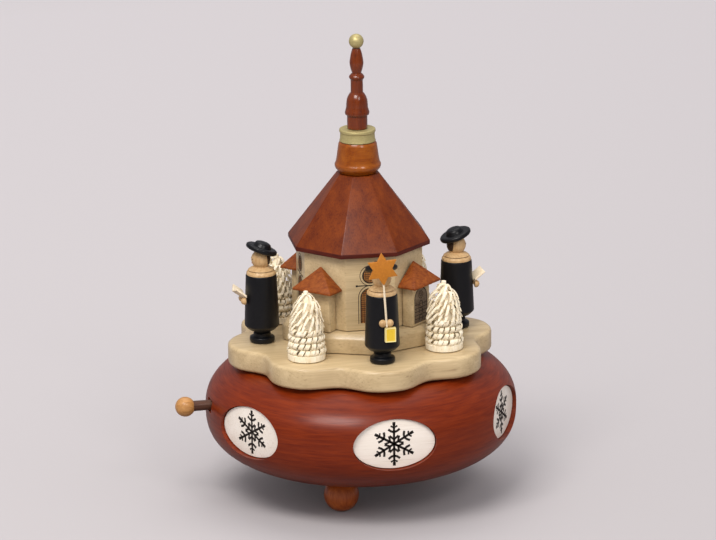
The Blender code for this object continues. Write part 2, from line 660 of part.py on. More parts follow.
def build_barrel():
    base, top = BARREL_Z, CROWN_Z
    bore = KEY_SHAFT_RADIUS + GAP
    inside = BARREL_RADIUS - BARREL_WALL
    rim = CROWN_RADIUS + CROWN_WIDTH / 2
    rim_in = CROWN_RADIUS - CROWN_WIDTH / 2
    spindle_top = PLATE_Z + SPINDLE_IN_PLATE
    profile = [(0, spindle_top), (SPINDLE_RADIUS, spindle_top)]
    profile += [(SPINDLE_RADIUS, PLATE_Z - GAP), (SPINDLE_SHOULDER, PLATE_Z - GAP)]
    profile += [(SPINDLE_SHOULDER, BOWL_TOP_Z + GAP), (SPINDLE_RADIUS, BOWL_TOP_Z + GAP)]
    profile += [(SPINDLE_RADIUS, top), (rim_in, top), (rim_in, top + TOOTH_HEIGHT)]
    profile += [(rim, top + TOOTH_HEIGHT), (rim, top - CROWN_THICK), (BARREL_RADIUS, top - CROWN_THICK)]
    profile += [(BARREL_RADIUS, base), (bore, base), (bore, base + BARREL_WALL)]
    profile += [(inside, base + BARREL_WALL), (inside, top - BARREL_WALL), (0, top - BARREL_WALL)]
    barrel = place(turned("spring_barrel", profile, ROUND_STEPS), BRASS, TURNTABLE)
    gap_width = math.tau * CROWN_RADIUS / CROWN_TEETH - TOOTH_THICK
    gaps = bmesh.new()
    for i in range(CROWN_TEETH):
        turn = MOVEMENT_TURN + math.tau * i / CROWN_TEETH
        where = Matrix.Rotation(turn, 4, "Z") @ Matrix.Translation((CROWN_RADIUS, 0, top + TOOTH_HEIGHT))
        size = Matrix.Diagonal((2 * CROWN_WIDTH, gap_width, 2 * TOOTH_HEIGHT - GAP / 3, 1))
        bmesh.ops.create_cube(gaps, size=1, matrix=where @ size)
    combine(barrel, hide(from_bmesh("crown_gaps", gaps), TURNTABLE), "DIFFERENCE")

    spring_low = base + BARREL_WALL + GAP
    spring_high = top - BARREL_WALL - GAP
    first = KEY_SHAFT_RADIUS + SPRING_END_SPACE
    last = inside - SPRING_THICK - GAP
    strip = bmesh.new()
    count = int(SPRING_TURNS * 12)
    row = []
    for i in range(count + 1):
        angle = math.tau * SPRING_TURNS * i / count
        radius = first + (last - first) * i / count
        row.append(strip.verts.new((radius * math.cos(angle), radius * math.sin(angle), spring_low)))
    edges = [strip.edges.new(pair) for pair in zip(row, row[1:])]
    grown = bmesh.ops.extrude_edge_only(strip, edges=edges)["geom"]
    raised = [v for v in grown if isinstance(v, bmesh.types.BMVert)]
    bmesh.ops.translate(strip, verts=raised, vec=(0, 0, spring_high - spring_low))
    spring = place(from_bmesh("mainspring", strip), STEEL, TURNTABLE)
    thicken = spring.modifiers.new("Strip", "SOLIDIFY")
    thicken.thickness = SPRING_THICK
    thicken.offset = 0


def gear_outline(pitch_radius, teeth, height, thickness, first=0.0):
    """Root and tip points of thin straight teeth, the first centred at an angle."""
    root, tip = pitch_radius - height, pitch_radius + height / 2
    points = []
    for i in range(teeth):
        middle = first + math.tau * i / teeth
        for radius, side in ((root, -1), (tip, -1), (tip, 1), (root, 1)):
            angle = middle + side * math.asin(thickness / 2 / radius)
            points.append((radius * math.cos(angle), radius * math.sin(angle)))
    return points


def gear_along_u(name, outline, width, u, v, z):
    return sawn(name, outline, width, 0, along_u(u + width / 2, v, z))


def build_cylinder():
    """Pinned cylinder on its shaft, with the pinion that the barrel's crown teeth drive."""
    drum = bmesh.new()
    pitch = CYLINDER_LENGTH / CYLINDER_ROWS
    rows = []
    for i in range(CYLINDER_ROWS + 1):
        ring = bmesh.ops.create_circle(drum, segments=CYLINDER_SIDES, radius=CYLINDER_RADIUS)["verts"]
        bmesh.ops.translate(drum, verts=ring, vec=(0, 0, i * pitch))
        rows.append(ring)
    bmesh.ops.bridge_loops(drum, edges=drum.edges)
    drum.faces.ensure_lookup_table()
    for end in (rows[0], rows[-1]):
        bmesh.ops.contextual_create(drum, geom=end)
    sides = sorted(
        (f for f in drum.faces if len(f.verts) == 4),
        key=lambda f: (round(f.calc_center_median().z, 6), round(f.normal.x, 4), round(f.normal.y, 4)),
    )
    pins = sides[3::11]
    bmesh.ops.inset_individual(drum, faces=pins, thickness=PIN_INSET)
    for face in pins:
        bmesh.ops.translate(drum, verts=face.verts, vec=face.normal * PIN_HEIGHT)
    body = from_bmesh("pinned_cylinder", drum, along_u(CYLINDER_U, 0, SHAFT_Z))
    cylinder = place(body, BRASS, MOVEMENT)
    pinion_u = CROWN_RADIUS - PINION_WIDTH / 2
    shaft_end = GEAR_U + GEAR_WIDTH + GAP - pinion_u
    shaft = rod("cylinder_shaft", SHAFT_RADIUS, -GAP, shaft_end, 12, along_u(pinion_u, 0, SHAFT_Z))
    teeth = gear_outline(PINION_RADIUS, PINION_TEETH, TOOTH_HEIGHT / 2, TOOTH_THICK)
    pinion = gear_along_u("cylinder_pinion", teeth, PINION_WIDTH, pinion_u, 0, SHAFT_Z)
    drive_teeth = gear_outline(
        DRIVE_GEAR_RADIUS, DRIVE_TEETH, GEAR_TOOTH_HEIGHT, GEAR_TOOTH_THICK, mesh_angle()
    )
    drive = gear_along_u("drive_gear", drive_teeth, GEAR_WIDTH, GEAR_U, 0, SHAFT_Z)
    for piece in (shaft, pinion, drive):
        combine(cylinder, hide(piece, MOVEMENT), "UNION", "MANIFOLD")


def mesh_angle():
    """Direction from the cylinder's shaft to the governor's, in a gear outline's own turn."""
    return math.atan2(GOVERNOR_V, GOVERNOR_DROP)


def build_governor():
    facing = mesh_angle() + math.pi + math.pi / GOVERNOR_PINION_TEETH
    outline = gear_outline(
        GOVERNOR_PINION_RADIUS, GOVERNOR_PINION_TEETH, GEAR_TOOTH_HEIGHT, GEAR_TOOTH_THICK, facing
    )
    start = FAR_POST_U
    end = WORM_WHEEL_U + GEAR_WIDTH + RUNNING_GAP + FRAME_THICK
    lying = along_u(start, GOVERNOR_V, GOVERNOR_Z)
    wheel = place(rod("governor_wheel", SHAFT_RADIUS, 0, end - start, 12, lying), BRASS, MOVEMENT)
    pinion = gear_along_u("governor_pinion", outline, GEAR_WIDTH, GEAR_U, GOVERNOR_V, GOVERNOR_Z)
    rim = gear_outline(
        WORM_WHEEL_RADIUS - GEAR_TOOTH_HEIGHT / 2, WORM_WHEEL_TEETH, GEAR_TOOTH_HEIGHT, GEAR_TOOTH_THICK
    )
    worm_wheel = gear_along_u("worm_wheel", rim, GEAR_WIDTH, WORM_WHEEL_U, GOVERNOR_V, GOVERNOR_Z)
    for piece in (pinion, worm_wheel):
        combine(wheel, hide(piece, MOVEMENT), "UNION", "MANIFOLD")

    low, high = FRAME_Z + FRAME_THICK + GAP, FRAME_TOP_Z - FRAME_THICK - GAP
    worm_low, worm_high = GOVERNOR_Z - WORM_LENGTH / 2, GOVERNOR_Z + WORM_LENGTH / 2
    profile = [(0, high), (SHAFT_RADIUS, high), (SHAFT_RADIUS, worm_high), (WORM_RADIUS, worm_high)]
    profile += [(WORM_RADIUS, worm_low), (SHAFT_RADIUS, worm_low), (SHAFT_RADIUS, low), (0, low)]
    stand = Matrix.Translation((FAN_U, FAN_V, 0))
    fan = place(turned("worm_and_fan", profile, 12, stand), STEEL, MOVEMENT)
    vane = block(
        "fan_vanes",
        (FAN_U - FAN_RADIUS + GAP, FAN_V - FAN_VANE_THICK / 2, FAN_Z),
        (FAN_U + FAN_RADIUS - GAP, FAN_V + FAN_VANE_THICK / 2, FAN_Z + FAN_HEIGHT),
    )
    combine(fan, hide(vane, MOVEMENT), "UNION")

    plate_u = WORM_WHEEL_U + GEAR_WIDTH + RUNNING_GAP
    half = FRAME_WIDTH / 2
    frame = place(
        block(
            "governor_frame",
            (FAN_U - half, GOVERNOR_V - BEARING_HALF_WIDTH - GAP, FRAME_Z),
            (plate_u + FRAME_THICK, FRAME_WALL_V + FRAME_THICK, FRAME_Z + FRAME_THICK),
        ),
        ZINC,
        MOVEMENT,
    )
    bearing = block(
        "governor_bearing",
        (plate_u, GOVERNOR_V - BEARING_HALF_WIDTH, FRAME_Z + FRAME_THICK / 2),
        (plate_u + FRAME_THICK - GAP, GOVERNOR_V + BEARING_HALF_WIDTH, GOVERNOR_Z + POST_ABOVE_SHAFT),
    )
    wall = block(
        "frame_wall",
        (FAN_U - half + GAP, FRAME_WALL_V, FRAME_Z + FRAME_THICK / 2),
        (FAN_U + half - GAP, FRAME_WALL_V + FRAME_THICK - GAP, FRAME_TOP_Z - FRAME_THICK / 2),
    )
    arm = block(
        "frame_arm",
        (FAN_U - half, FAN_V - half, FRAME_TOP_Z - FRAME_THICK),
        (FAN_U + half, FRAME_WALL_V + FRAME_THICK, FRAME_TOP_Z),
    )
    for piece in (bearing, wall, arm):
        combine(frame, hide(piece, MOVEMENT), "UNION")
    lying = along_u(plate_u - FRAME_THICK, GOVERNOR_V, GOVERNOR_Z)
    bore = rod("bearing_bore", SHAFT_RADIUS + GAP, 0, 3 * FRAME_THICK, 10, lying)
    combine(frame, hide(bore, MOVEMENT), "DIFFERENCE")


def build_key():
    wing_z = KEY_CLEARANCE + KEY_WING_RADIUS
    hub_top = UNDERSIDE_Z - KEY_CLEARANCE
    top = CROWN_Z - BARREL_WALL - GAP
    profile = [(0, top), (KEY_SHAFT_RADIUS, top), (KEY_SHAFT_RADIUS, hub_top)]
    profile += [(KEY_HUB_RADIUS, hub_top), (KEY_HUB_RADIUS, wing_z - KEY_HUB_RADIUS)]
    profile += [(0, wing_z - KEY_HUB_RADIUS)]
    key = place(turned("winding_key", profile, 16), STEEL, AXIS)
    for side in (-1, 1):
        spot = Matrix.Translation((side * KEY_WING_OFFSET, 0, wing_z))
        stand = spot @ Matrix.Rotation(math.pi / 2, 4, "X")
        half = KEY_WING_THICK / 2
        wing = rod(f"key_wing_{side + 2}", KEY_WING_RADIUS, -half, half, 20, stand)
        combine(key, hide(wing, AXIS), "UNION")


def build_plate():
    outline = []
    for i in range(PLATE_OUTLINE_POINTS):
        turn = math.tau * i / PLATE_OUTLINE_POINTS
        wave = PLATE_LOBES * (turn + math.pi / 2)
        radius = PLATE_RADIUS + PLATE_WAVE * math.cos(wave)
        radius -= PLATE_LOBE_WIDENING * math.cos(2 * wave)
        outline.append((radius * math.cos(turn), radius * math.sin(turn)))
    lift = Matrix.Translation((0, 0, PLATE_Z + PLATE_THICK / 2))
    plate = place(sawn("turntable_plate", outline, PLATE_THICK, PLATE_EDGE, lift), MAPLE, TURNTABLE)
    socket_top = PLATE_Z + SPINDLE_IN_PLATE + GAP
    socket = rod("spindle_socket", SPINDLE_RADIUS + GAP, PLATE_Z - PLATE_LIFT, socket_top)
    combine(plate, hide(socket, TURNTABLE), "DIFFERENCE")


def build_church():
    face = math.radians(CHURCH_TURN)
    half_side = math.pi / CHURCH_SIDES
    top = STAND_Z + PLINTH_HEIGHT
    plinth = [(0, top), (PLINTH_RADIUS - PLINTH_BEVEL_DEPTH, top)]
    plinth += [(PLINTH_RADIUS, top - PLINTH_BEVEL_HEIGHT), (PLINTH_RADIUS, STAND_Z), (0, STAND_Z)]
    place(turned("church_plinth", plinth, CHURCH_SIDES), MAPLE, TURNTABLE).rotation_euler.z = face
    nave_radius = NAVE_APOTHEM / math.cos(half_side)
    nave = rod("church_nave", nave_radius, NAVE_Z, NAVE_Z + NAVE_HEIGHT, CHURCH_SIDES)
    place(nave, MAPLE, TURNTABLE).rotation_euler.z = face + half_side
    peak = ROOF_Z + ROOF_HEIGHT
    roof = [(0, peak), (ROOF_TOP_RADIUS, peak), (ROOF_RADIUS, ROOF_Z + ROOF_RIM)]
    roof += [(ROOF_RADIUS, ROOF_Z), (0, ROOF_Z)]
    cap = place(turned("church_roof", roof, CHURCH_SIDES), ROOF_STAIN, TURNTABLE)
    cap.rotation_euler.z = math.radians(ROOF_TURN) + half_side
    for i in range(4):
        build_annex(i + 1, CHURCH_TURN + 45 + 90 * i)


def build_annex(number, azimuth):
    """A porch against a slanting wall of the nave, under half a pyramid."""
    spot = station(f"annex_{number}_place", 0, azimuth, 0, TURNTABLE)
    wall = -(NAVE_APOTHEM + GAP)
    eave = NAVE_Z + ANNEX_HEIGHT
    middle = ANNEX_SHIFTS[number - 1]
    low = (middle - ANNEX_WIDTH / 2, wall - ANNEX_DEPTH, NAVE_Z)
    place(block(f"annex_{number}", low, (middle + ANNEX_WIDTH / 2, wall, eave)), MAPLE, spot)
    roof = bmesh.new()
    base = eave + GAP
    for x in (middle - ANNEX_ROOF_WIDTH / 2, middle + ANNEX_ROOF_WIDTH / 2):
        for y in (wall - ANNEX_ROOF_DEPTH, wall):
            for z in (base, base + ANNEX_ROOF_RIM):
                roof.verts.new((x, y, z))
    roof.verts.new((middle, wall - ANNEX_PEAK_OUT, base + ANNEX_ROOF_HEIGHT))
    bmesh.ops.convex_hull(roof, input=roof.verts)
    place(from_bmesh(f"annex_roof_{number}", roof), ANNEX_STAIN, spot)


def build_tower():
    top, lip, flare = COLLAR_Z + COLLAR_HEIGHT, COLLAR_TOP_RADIUS, COLLAR_FLARE_RADIUS
    collar = [(0, top), (lip - 0.6 * MM, top), (lip, top - 0.8 * MM), (lip + 0.7 * MM, top - 6 * MM)]
    collar += [(flare - 0.5 * MM, top - 8.5 * MM), (flare, top - 9.8 * MM)]
    collar += [(flare - 0.4 * MM, COLLAR_Z + 1.9 * MM), (COLLAR_FOOT_RADIUS, COLLAR_Z), (0, COLLAR_Z)]
    place(turned("tower_collar", collar, ROUND_STEPS), ROOF_STAIN, TURNTABLE)
    place(rod("tower_band", BAND_RADIUS, BAND_Z, BAND_Z + BAND_HEIGHT, ROUND_STEPS), GOLD, TURNTABLE)

    outline = [(0, 0), *SPIRE_TIP, *SPIRE_RING, *SPIRE_BELL, *SPIRE_COLUMN, (0, 1)]
    spire = [(r * SPIRE_RADIUS, SPIRE_Z + (1 - d) * SPIRE_HEIGHT) for r, d in outline]
    place(turned("tower_spire", spire, 18), MAHOGANY, TURNTABLE)

    centre = TOWER_BALL_Z + TOWER_BALL_RADIUS - TOWER_BALL_FLAT
    low = -math.asin(1 - TOWER_BALL_FLAT / TOWER_BALL_RADIUS)
    ball = []
    for i in range(8):
        angle = math.pi / 2 + (low - math.pi / 2) * i / 7
        height = centre + TOWER_BALL_RADIUS * math.sin(angle)
        ball.append((TOWER_BALL_RADIUS * math.cos(angle), height))
    ball[0] = (0, centre + TOWER_BALL_RADIUS)
    ball.append((0, TOWER_BALL_Z))
    place(turned("tower_ball", ball, 16), GOLD, TURNTABLE)


def coat_radius(height):
    """Radius of the coat's straight side."""
    share = (height - COAT_HEM_HEIGHT) / (COAT_HEIGHT - COAT_HEM_HEIGHT)
    return COAT_HEM_RADIUS + (COAT_SHOULDER_RADIUS - COAT_HEM_RADIUS) * share


def build_singer(name, azimuth):
    """Turned coat on its foot, natural head with a collar, and the tilted hat."""
    spot = station(f"{name}_place", SINGER_CIRCLE, azimuth, STAND_Z, TURNTABLE)
    top, shoulder, foot = COAT_HEIGHT, COAT_SHOULDER_RADIUS, COAT_FOOT_RADIUS
    hem, hem_z, foot_z = COAT_HEM_RADIUS, COAT_HEM_HEIGHT, COAT_FOOT_HEIGHT
    coat = [(0, top), (shoulder - 1.4 * MM, top), (shoulder - 0.4 * MM, top - 0.6 * MM)]
    coat += [(shoulder, top - 1.8 * MM), (hem, hem_z)]
    coat += [(hem - COAT_HEM_ROUNDING, hem_z - COAT_HEM_ROUNDING)]
    coat += [(COAT_NECK_RADIUS, hem_z - COAT_HEM_ROUNDING - COAT_EDGE)]
    coat += [(COAT_NECK_RADIUS, foot_z + COAT_EDGE), (foot - COAT_EDGE, foot_z)]
    coat += [(foot, foot_z - COAT_EDGE), (foot, COAT_EDGE), (foot - COAT_EDGE, 0), (0, 0)]
    place(turned(f"{name}_coat", coat), BLACK, spot)

    seat = COAT_HEIGHT + GAP
    centre = COAT_HEIGHT + HEAD_ABOVE_COAT
    neck_z = seat + COLLARETTE_HEIGHT
    neck_angle = math.asin((neck_z - centre) / HEAD_RADIUS)
    head = []
    for i in range(9):
        angle = math.pi / 2 + (neck_angle - math.pi / 2) * i / 8
        head.append((HEAD_RADIUS * math.cos(angle), centre + HEAD_RADIUS * math.sin(angle)))
    head[0] = (0, centre + HEAD_RADIUS)
    neck, rim, rise = head[-1][0], COLLARETTE_RADIUS, COLLARETTE_HEIGHT
    head += [((neck + rim) / 2 + 0.4 * MM, seat + rise * 0.7), (rim - 0.1 * MM, seat + rise * 0.25)]
    head += [(rim, seat), (0, seat)]
    face = turned(f"{name}_head", head)
    tilt = math.radians(HAT_TILT)
    up = Vector((0, math.sin(tilt), math.cos(tilt)))
    cut = bmesh.new()
    cut.from_mesh(face.data)
    everything = cut.verts[:] + cut.edges[:] + cut.faces[:]
    middle = Vector((0, 0, centre))
    bmesh.ops.bisect_plane(
        cut, geom=everything, plane_co=middle + up * HAT_SEAT, plane_no=up, clear_outer=True
    )
    bmesh.ops.holes_fill(cut, edges=[e for e in cut.edges if e.is_boundary])
    cut.to_mesh(face.data)
    cut.free()
    finish(face.data)
    place(face, SKIN_WOOD, spot)

    brim, edge, crown = HAT_BRIM_RADIUS, HAT_BRIM_THICK, HAT_CROWN_RADIUS
    peak = HAT_BRIM_THICK + HAT_CROWN_HEIGHT
    hat = [(0, peak), (crown * 0.5, peak - 0.1 * MM), (crown * 0.83, peak - 0.8 * MM)]
    hat += [(crown, edge + 0.6 * MM), (crown + 0.2 * MM, edge - 0.1 * MM), (brim - 0.8 * MM, edge)]
    hat += [(brim - 0.1 * MM, edge * 0.75), (brim, edge * 0.45), (brim - 0.4 * MM, edge * 0.12)]
    hat += [(brim - 1 * MM, 0), (0, 0)]
    cap = place(turned(f"{name}_hat", hat), BLACK, spot)
    forward = Vector((0, -math.cos(tilt), math.sin(tilt)))
    cap.location = middle + up * (HAT_SEAT + GAP) + forward * HAT_FORWARD
    cap.rotation_euler.x = -tilt
    return spot


def coat_cutter(name, spot):
    """The coat with a glue gap round it, for flattening what is stuck on its front."""
    low, high = COAT_HEM_HEIGHT, COAT_HEIGHT
    cone = [(0, high), (coat_radius(high) + GAP, high), (coat_radius(low) + GAP, low), (0, low)]
    return hide(turned(f"{name}_coat_cutter", cone), spot)


def hand(name, x, spot):
    points = []
    for i in range(7):
        angle = math.pi / 2 - math.pi * i / 6
        points.append((HAND_RADIUS * math.cos(angle), HAND_RADIUS * math.sin(angle)))
    points[0], points[-1] = (0, HAND_RADIUS), (0, -HAND_RADIUS)
    return hide(turned(name, points, 12, Matrix.Translation((x, -HAND_REACH, HAND_HEIGHT))), spot)


def book_leaf(name, side):
    leaf = block(name, (0, -BOOK_LEAF_LENGTH, 0), (BOOK_LEAF_WIDTH, 0, BOOK_LEAF_THICK))
    rise = BOOK_HAND_SPREAD * math.tan(math.radians(BOOK_OPENING))
    spine = Matrix.Translation((0, -HAND_REACH, HAND_HEIGHT + HAND_RADIUS - BOOK_GRIP - rise))
    tilt = Matrix.Rotation(-math.radians(BOOK_TILT), 4, "X")
    opening = Matrix.Rotation(-math.radians(BOOK_OPENING), 4, "Y")
    leaf.data.transform(Matrix.Scale(side, 4, (1, 0, 0)) @ opening)
    if side < 0:
        leaf.data.flip_normals()
    leaf.data.transform(spine @ tilt)
    return leaf


def build_book(name, spot):
    book = place(book_leaf(f"{name}_book", 1), PAPER, spot)
    pieces = [hide(book_leaf(f"{name}_second_leaf", -1), spot)]
    for side in (-1, 1):
        pieces.append(hand(f"{name}_hand_{side + 2}", side * BOOK_HAND_SPREAD, spot))
    for piece in pieces:
        combine(book, piece, "UNION")
    combine(book, coat_cutter(name, spot), "DIFFERENCE")


def build_star(name, spot):
    pole_y = -(HAND_REACH + STAR_POLE_RADIUS)
    grip = Matrix.Translation((0, pole_y, HAND_HEIGHT))
    stand = grip @ Matrix.Rotation(-math.radians(STAR_LEAN), 4, "Y")
    centre = STAR_HEIGHT - HAND_HEIGHT
    pole_top = centre - STAR_INNER_RADIUS / 2
    pole = rod("star_pole", STAR_POLE_RADIUS, -HAND_RADIUS, pole_top, 8, stand)
    place(pole, STAR_PAINT, spot)
    outline = []
    for i in range(2 * STAR_POINTS):
        turn = math.pi / 2 + math.pi * i / STAR_POINTS
        radius = STAR_INNER_RADIUS if i % 2 else STAR_RADIUS
        outline.append((radius * math.cos(turn), radius * math.sin(turn)))
    upright = stand @ Matrix.Translation((0, 0, centre)) @ Matrix.Rotation(math.pi / 2, 4, "X")
    star = hide(sawn("star", outline, STAR_THICK, 0, upright), spot)
    combine(pole, star, "UNION")
    for side in (-1, 1):
        combine(pole, hand(f"star_hand_{side + 2}", side * STAR_HAND_SPREAD, spot), "UNION")
    combine(pole, coat_cutter(name, spot), "DIFFERENCE")
    lantern_top = HAND_HEIGHT - HAND_RADIUS - GAP
    front = -(coat_radius(lantern_top - LANTERN_HEIGHT) + GAP)
    low = (STAR_HAND_SPREAD - LANTERN_WIDTH / 2, front - LANTERN_DEPTH, lantern_top - LANTERN_HEIGHT)
    high = (STAR_HAND_SPREAD + LANTERN_WIDTH / 2, front, lantern_top)
    place(block("lantern", low, high), LANTERN_PAINT, spot)


def build_tree(number, azimuth):
    """A cone of curled shavings on its plain turned base."""
    spot = station(f"tree_{number}_place", TREE_CIRCLE, azimuth, STAND_Z, TURNTABLE)
    tiers_top = TREE_BASE_HEIGHT + TREE_TIERS * TREE_TIER_HEIGHT
    tip = tiers_top + TREE_PIN_LENGTH
    tree = [(0, tip), (TREE_PIN_RADIUS, tip), (TREE_PIN_RADIUS, tiers_top)]
    for i in range(TREE_TIERS):
        share = (i / (TREE_TIERS - 1)) ** TREE_FULLNESS
        outer = TREE_TOP_RADIUS + (TREE_LOW_RADIUS - TREE_TOP_RADIUS) * share
        low = tiers_top - (i + 1) * TREE_TIER_HEIGHT
        if i:
            tree.append((outer * TREE_CORE_SHARE, low + TREE_TIER_HEIGHT))
        tree.append((outer, low + TREE_TIER_HEIGHT * 0.3))
    base, base_top = TREE_BASE_RADIUS, TREE_BASE_HEIGHT
    tree += [(base - 0.3 * MM, base_top), (base, base_top * 0.8), (base, 0), (0, 0)]
    place(turned(f"tree_{number}", tree), SHAVINGS, spot)


def build_turntable():
    build_plate()
    build_church()
    build_tower()
    for name, azimuth in {"singer_right": 90, "singer_back": 180, "singer_left": 270}.items():
        build_book(name, build_singer(name, azimuth))
    build_star("star_bearer", build_singer("star_bearer", 0))
    for i in range(4):
        build_tree(i + 1, 45 + 90 * i)


build_bowl()
build_lever()
build_bedplate()
build_comb()
build_barrel()
build_cylinder()
build_governor()
build_key()
build_turntable()
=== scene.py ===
"""Looks for the wooden music box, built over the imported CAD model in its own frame.

Metres, +Z up, standing on z = 0. A place round the turning axis, which stands at x = AXIS_X, is
given by its azimuth, from -Y at the front towards +X, and its distance from that axis.
"""

from functools import partial
from math import asin, copysign, cos, degrees, hypot, pi, radians, sin, sqrt, tan, tau

import bmesh
import bpy
from mathutils import Matrix, Vector


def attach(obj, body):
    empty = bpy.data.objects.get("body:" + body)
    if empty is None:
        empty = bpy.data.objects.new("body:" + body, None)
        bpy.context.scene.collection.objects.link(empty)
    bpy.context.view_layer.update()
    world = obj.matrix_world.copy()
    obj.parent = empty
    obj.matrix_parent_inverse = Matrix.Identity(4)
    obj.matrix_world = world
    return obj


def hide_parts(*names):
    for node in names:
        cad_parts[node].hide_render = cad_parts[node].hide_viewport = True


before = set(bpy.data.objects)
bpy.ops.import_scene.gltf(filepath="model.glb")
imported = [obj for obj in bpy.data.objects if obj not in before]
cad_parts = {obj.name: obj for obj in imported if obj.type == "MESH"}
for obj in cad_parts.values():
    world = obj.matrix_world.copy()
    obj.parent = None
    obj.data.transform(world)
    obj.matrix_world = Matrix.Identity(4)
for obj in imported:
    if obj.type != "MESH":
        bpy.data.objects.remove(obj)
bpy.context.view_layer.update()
MM = 0.001
AXIS_X = 6.975 * MM

# Studio and camera
# A pale grey tabletop in a room that is pale behind the box and dim behind the camera. One broad
# softbox hangs over the tabletop, one stands high in front, to the left, and a small one lower,
# to the right.


def linear(hex_colour):
    """A colour as it looks on a screen, turned into the light that the shaders work with."""
    shares = [int(hex_colour[i : i + 2], 16) / 255 for i in (0, 2, 4)]
    return tuple(s / 12.92 if s <= 0.04045 else ((s + 0.055) / 1.055) ** 2.4 for s in shares) + (1,)


def add_node(tree, kind, inputs=(), **settings):
    """Adds a node. Its inputs come in order or by name, each a value or what feeds it.

    A kind goes without ShaderNode or GeometryNode, and a math node's kind is its operation.
    """
    if kind.isupper():
        kind, settings = "Math", {"operation": kind}
    names = (prefix + kind for prefix in ("ShaderNode", "GeometryNode", ""))
    made = tree.nodes.new(next(name for name in names if hasattr(bpy.types, name)))
    for key, value in settings.items():
        setattr(made, key, value)
    for key, value in inputs.items() if isinstance(inputs, dict) else enumerate(inputs):
        if isinstance(value, bpy.types.Node):
            value = next(socket for socket in value.outputs if socket.enabled)
        if isinstance(value, bpy.types.NodeSocket):
            tree.links.new(value, made.inputs[key])
        else:
            made.inputs[key].default_value = value
    return made


def start_material(name, **values):
    """A new material, its tree, its shader with these plain values, and the Object coordinates."""
    material = bpy.data.materials.new(name)
    material.use_nodes = True
    tree = material.node_tree
    shader = tree.nodes["Principled BSDF"]
    for socket, value in values.items():
        shader.inputs[socket.replace("_", " ").title().replace("Ior", "IOR")].default_value = value
    return material, tree, shader, add_node(tree, "TexCoord").outputs["Object"]


def add_object(name, data):
    made = bpy.data.objects.new(name, data)
    bpy.context.scene.collection.objects.link(made)
    return made


def towards(azimuth, elevation):
    """The direction that lies at these angles in degrees."""
    turn, rise = radians(azimuth), radians(elevation)
    return Vector((sin(turn) * cos(rise), -cos(turn) * cos(rise), sin(rise)))


AZIMUTH, ELEVATION = -12.6, 15.93
ROLL = radians(-0.75)
DISTANCE = 2203 * MM
LOOK_AT = Vector((6.497, 0.107, 95.89)) * MM

backward = towards(AZIMUTH, ELEVATION)
level = towards(AZIMUTH + 90, 0)
upward = backward.cross(level)
across = level * cos(ROLL) + upward * sin(ROLL)
upward = upward * cos(ROLL) - level * sin(ROLL)
camera_data = bpy.data.cameras.new("camera")
camera_data.lens = 266.58
camera_data.sensor_width = 36
camera_data.sensor_fit = "HORIZONTAL"
camera_data.clip_end = 20
camera = add_object("camera", camera_data)
facing = Matrix((across, upward, backward)).transposed().to_4x4()
camera.matrix_world = Matrix.Translation(LOOK_AT + backward * DISTANCE) @ facing
bpy.context.scene.camera = camera
bpy.context.scene.view_settings.view_transform = "Standard"

# Each softbox: azimuth and elevation from the middle of the box, distance, width, height, watts
SOFTBOXES = {
    "front_softbox": (-36, 50, 1.2, 0.62, 0.4, 9.5),
    "low_softbox": (15, 36, 1.4, 0.28, 0.28, 2.6),
    "overhead_softbox": (170, 72, 1.5, 1.3, 1.3, 7),
}
LIT_MIDDLE = Vector((AXIS_X, 0, 90 * MM))
for name, (azimuth, elevation, distance, width, height, watts) in SOFTBOXES.items():
    lamp = bpy.data.lights.new(name, "AREA")
    lamp.shape = "RECTANGLE"
    lamp.size, lamp.size_y = width, height
    lamp.energy = watts
    lamp.color = linear("FFFAF8")[:3]
    softbox = add_object(name, lamp)
    aim = towards(azimuth, elevation)
    softbox.location = LIT_MIDDLE + aim * distance
    softbox.rotation_euler = aim.to_track_quat("Z", "Y").to_euler()

world = bpy.data.worlds.new("pale room")
bpy.context.scene.world = world
world.use_nodes = True
room = world.node_tree
ray = add_node(room, "LightPath").outputs
mirrored = add_node(room, "MAXIMUM", (ray["Is Glossy Ray"], ray["Is Transmission Ray"]))
way = add_node(room, "TexCoord").outputs["Generated"]
to_back = add_node(room, "SeparateXYZ", (way,)).outputs["Y"]
# What the lacquer mirrors: dim where the direction points to the front, pale to the back.
# A range node takes a value, its least and its most, and what these two become
backdrop = (to_back, -0.75, 0.45, 0.05, 0.4)
backdrop = add_node(room, "MapRange", backdrop, interpolation_type="SMOOTHSTEP")
# What lights the box: most of it comes from the front
fill = add_node(room, "MapRange", (to_back, -1, 1, 1.12, 0.42))
lighting, mirror, backcloth = (
    add_node(room, "Background", (linear(colour), strength))
    for colour, strength in (("F4F3F8", fill), ("DDDAE2", backdrop), ("DAD5D5", 0.8))
)
unseen = add_node(room, "MixShader", (mirrored, lighting, mirror))
look = add_node(room, "MixShader", (ray["Is Camera Ray"], unseen, backcloth))
room.links.new(look.outputs[0], room.nodes["World Output"].inputs["Surface"])

floor_mesh = bpy.data.meshes.new("tabletop")
floor_mesh.from_pydata([(-6, -6, 0), (6, -6, 0), (6, 6, 0), (-6, 6, 0)], [], [(0, 1, 2, 3)])
# Matt paper, its grey painted darker at the front and paler towards the back as painted light, and
# kept from throwing all its light back up
paper, paper_tree, paper_shader, spot = start_material("matt grey paper", roughness=0.9)
spot = add_node(paper_tree, "SeparateXYZ", (spot,)).outputs["Y"]
depth = add_node(paper_tree, "MapRange", (spot, -0.15, 0.9))
greys = {0: depth, 6: linear("B4B0B0"), 7: linear("D8D3D3")}
grey = add_node(paper_tree, "Mix", greys, data_type="RGBA").outputs[2]
seen = add_node(paper_tree, "LightPath").outputs["Is Camera Ray"]
greys = {0: seen, 6: linear("8C8585"), 7: grey}
grey = add_node(paper_tree, "Mix", greys, data_type="RGBA").outputs[2]
paper_tree.links.new(grey, paper_shader.inputs["Base Color"])
floor_mesh.materials.append(paper)
add_object("tabletop", floor_mesh)

